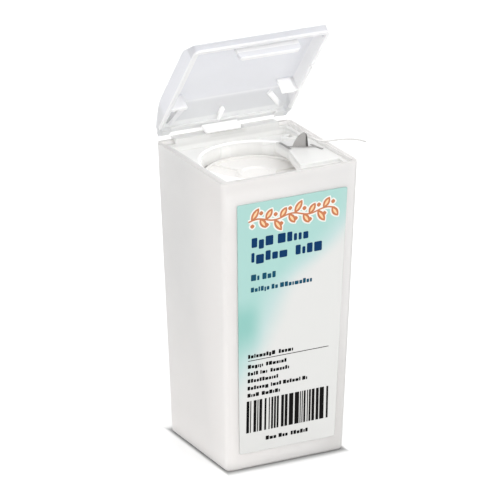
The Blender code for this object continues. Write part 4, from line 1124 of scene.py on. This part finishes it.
def make_small_print(black, dice):
    """A bold row over a thin rule, five small rows, and a short row under the bars."""
    outlines = greeked([BOLD_ROW], dice)
    outlines.append(rounded_bar(PRINT_LEFT, PRINT_RIGHT, RULE_BOTTOM, RULE_TOP, RULE_CORNER, 1))
    outlines += greeked(SMALL_ROWS, dice)
    print_on_label("print_small_rows", outlines, black)


def make_bars(black, dice):
    """A panel of made-up upright bars."""
    outlines = []
    x = BARS_LEFT
    while x < BARS_RIGHT - BARS_END_ROOM:
        width = dice.choice(BAR_WIDTHS)
        right = min(x + width, BARS_RIGHT)
        outlines.append(rounded_bar(x, right, BARS_BOTTOM, BARS_TOP, BAR_CORNER, 1))
        x += width + dice.choice(BAR_GAPS)
    print_on_label("print_bars", outlines, black)


def make_band(white, orange, cream):
    """A climbing vine of slanted leaves and berries, orange with pale veins on a white edge."""
    middle = (BAND_BOTTOM + BAND_TOP) / 2
    tall = BAND_TOP - BAND_BOTTOM
    border = VINE_EDGE * 2
    berry_size = tall * BERRY_SHARE
    stem = []
    for k in range(VINE_STEPS + 1):
        share = k / VINE_STEPS
        swing = math.sin(share * math.pi * 2 * VINE_WAVES)
        x = BAND_LEFT + (BAND_RIGHT - BAND_LEFT) * share
        stem.append((x, middle + tall * VINE_SWING_SHARE * swing))
    edges = [stroke(stem, VINE_STEM + border)]
    shapes = [stroke(stem, VINE_STEM)]
    veins = []
    for k in range(VINE_LEAVES):
        x, z = stem[round((k + 0.5) * VINE_STEPS / VINE_LEAVES)]
        up = 1 if k % 2 == 0 else -1
        lean = LEAF_LEAN_DEGREES if up > 0 else 180 - LEAF_LEAN_DEGREES
        length = tall * (LEAF_LENGTH_SHARE if k % LONG_LEAF_EVERY else LONG_LEAF_SHARE)
        width = tall * LEAF_WIDTH_SHARE
        reach = length * LEAF_REACH_SHARE
        place = (x + reach * math.sin(math.radians(lean)), z + reach * math.cos(math.radians(lean)))
        edges.append(leaf(*place, length + border, width + border, lean))
        shapes.append(leaf(*place, length, width, lean))
        veins.append(leaf(*place, length * VEIN_LENGTH_SHARE, width * VEIN_WIDTH_SHARE, lean))
        place = (x + tall * BERRY_ACROSS_SHARE, z - up * tall * BERRY_DROP_SHARE)
        edges.append(leaf(*place, berry_size + border, berry_size + border, 0))
        shapes.append(leaf(*place, berry_size, berry_size, 0))
    print_on_label("print_band_edge", edges, white)
    print_on_label("print_band_leaves", shapes, orange, layer=2)
    print_on_label("print_band_veins", veins, cream, layer=4)


# Hinge film

def hinge_piece(name, node, route, thickness, edge, material):
    """A band of film along a bend beside the hinge's axis, as wide as its node."""
    axis = hinge_axis()
    start, knee, end = [Vector(p) for p in route]
    low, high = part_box(node)
    points = []
    for k in range(HINGE_STEPS + 1):
        t = k / HINGE_STEPS
        points.append(start * (1 - t) ** 2 + knee * 2 * t * (1 - t) + end * t ** 2)
    bm = bmesh.new()
    sections = []
    for k, here in enumerate(points):
        before = points[max(k - 1, 0)]
        after = points[min(k + 1, HINGE_STEPS)]
        along = (after - before).normalized()
        across = Vector((-along.y, along.x)) * thickness / 2
        section = []
        for x, side in ((low.x, 1), (high.x, 1), (high.x, -1), (low.x, -1)):
            place = here + across * side
            section.append(bm.verts.new((x, axis.y + place.x, axis.z + place.y)))
        sections.append(section)
    for one, two in zip(sections, sections[1:]):
        for i in range(4):
            j = (i + 1) % 4
            bm.faces.new((one[i], one[j], two[j], two[i]))
    bm.faces.new(sections[0][::-1])
    bm.faces.new(sections[-1])
    if edge:
        sharp = [e for e in bm.edges if len(e.link_faces) == 2 and e.calc_face_angle(0) > SHARP_ANGLE]
        bmesh.ops.bevel(bm, geom=sharp, offset=edge, segments=2, profile=0.5, affect="EDGES")
    piece = add_object(name, mesh_of(bm, name, 40))
    set_material(piece, material)
    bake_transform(piece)
    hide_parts(node)


# Everything

make_camera()
make_sky()
make_floor()

floss = nylon_floss()
make_tail(floss)
make_feed(floss)
make_winding(floss)

styrene = white_polystyrene()
finishes = {
    "box_body": frosted_polypropylene(),
    "cap_base": white_polypropylene(),
    "lid": clear_polypropylene(),
    "cutter": stainless_steel(),
    "front_label": printed_film(),
    "spool_core": styrene,
    "spool_upper_flange": styrene,
}
for node_name, finish in finishes.items():
    set_material(frame["nodes"][node_name], finish)

hinge_film = hinge_polypropylene()
hinge_piece("web_left_film", "hinge_web_left", WEB_ROUTE, WEB_THICKNESS, 0.0, hinge_film)
hinge_piece("web_right_film", "hinge_web_right", WEB_ROUTE, WEB_THICKNESS, 0.0, hinge_film)
hinge_piece("strap_band", "hinge_strap", STRAP_ROUTE, STRAP_THICKNESS, STRAP_EDGE, hinge_film)

dice = random.Random(DICE_SEED)
black_ink = ink("black ink", "#0A0909")
make_headline(ink("navy ink", "#083058"), dice)
make_notes(ink("slate blue ink", "#16465C"), dice)
make_small_print(black_ink, dice)
make_bars(black_ink, dice)
make_band(ink("white ink", "#DAD9D3"), ink("orange ink", "#B47250"), ink("cream ink", "#E3BE94"))
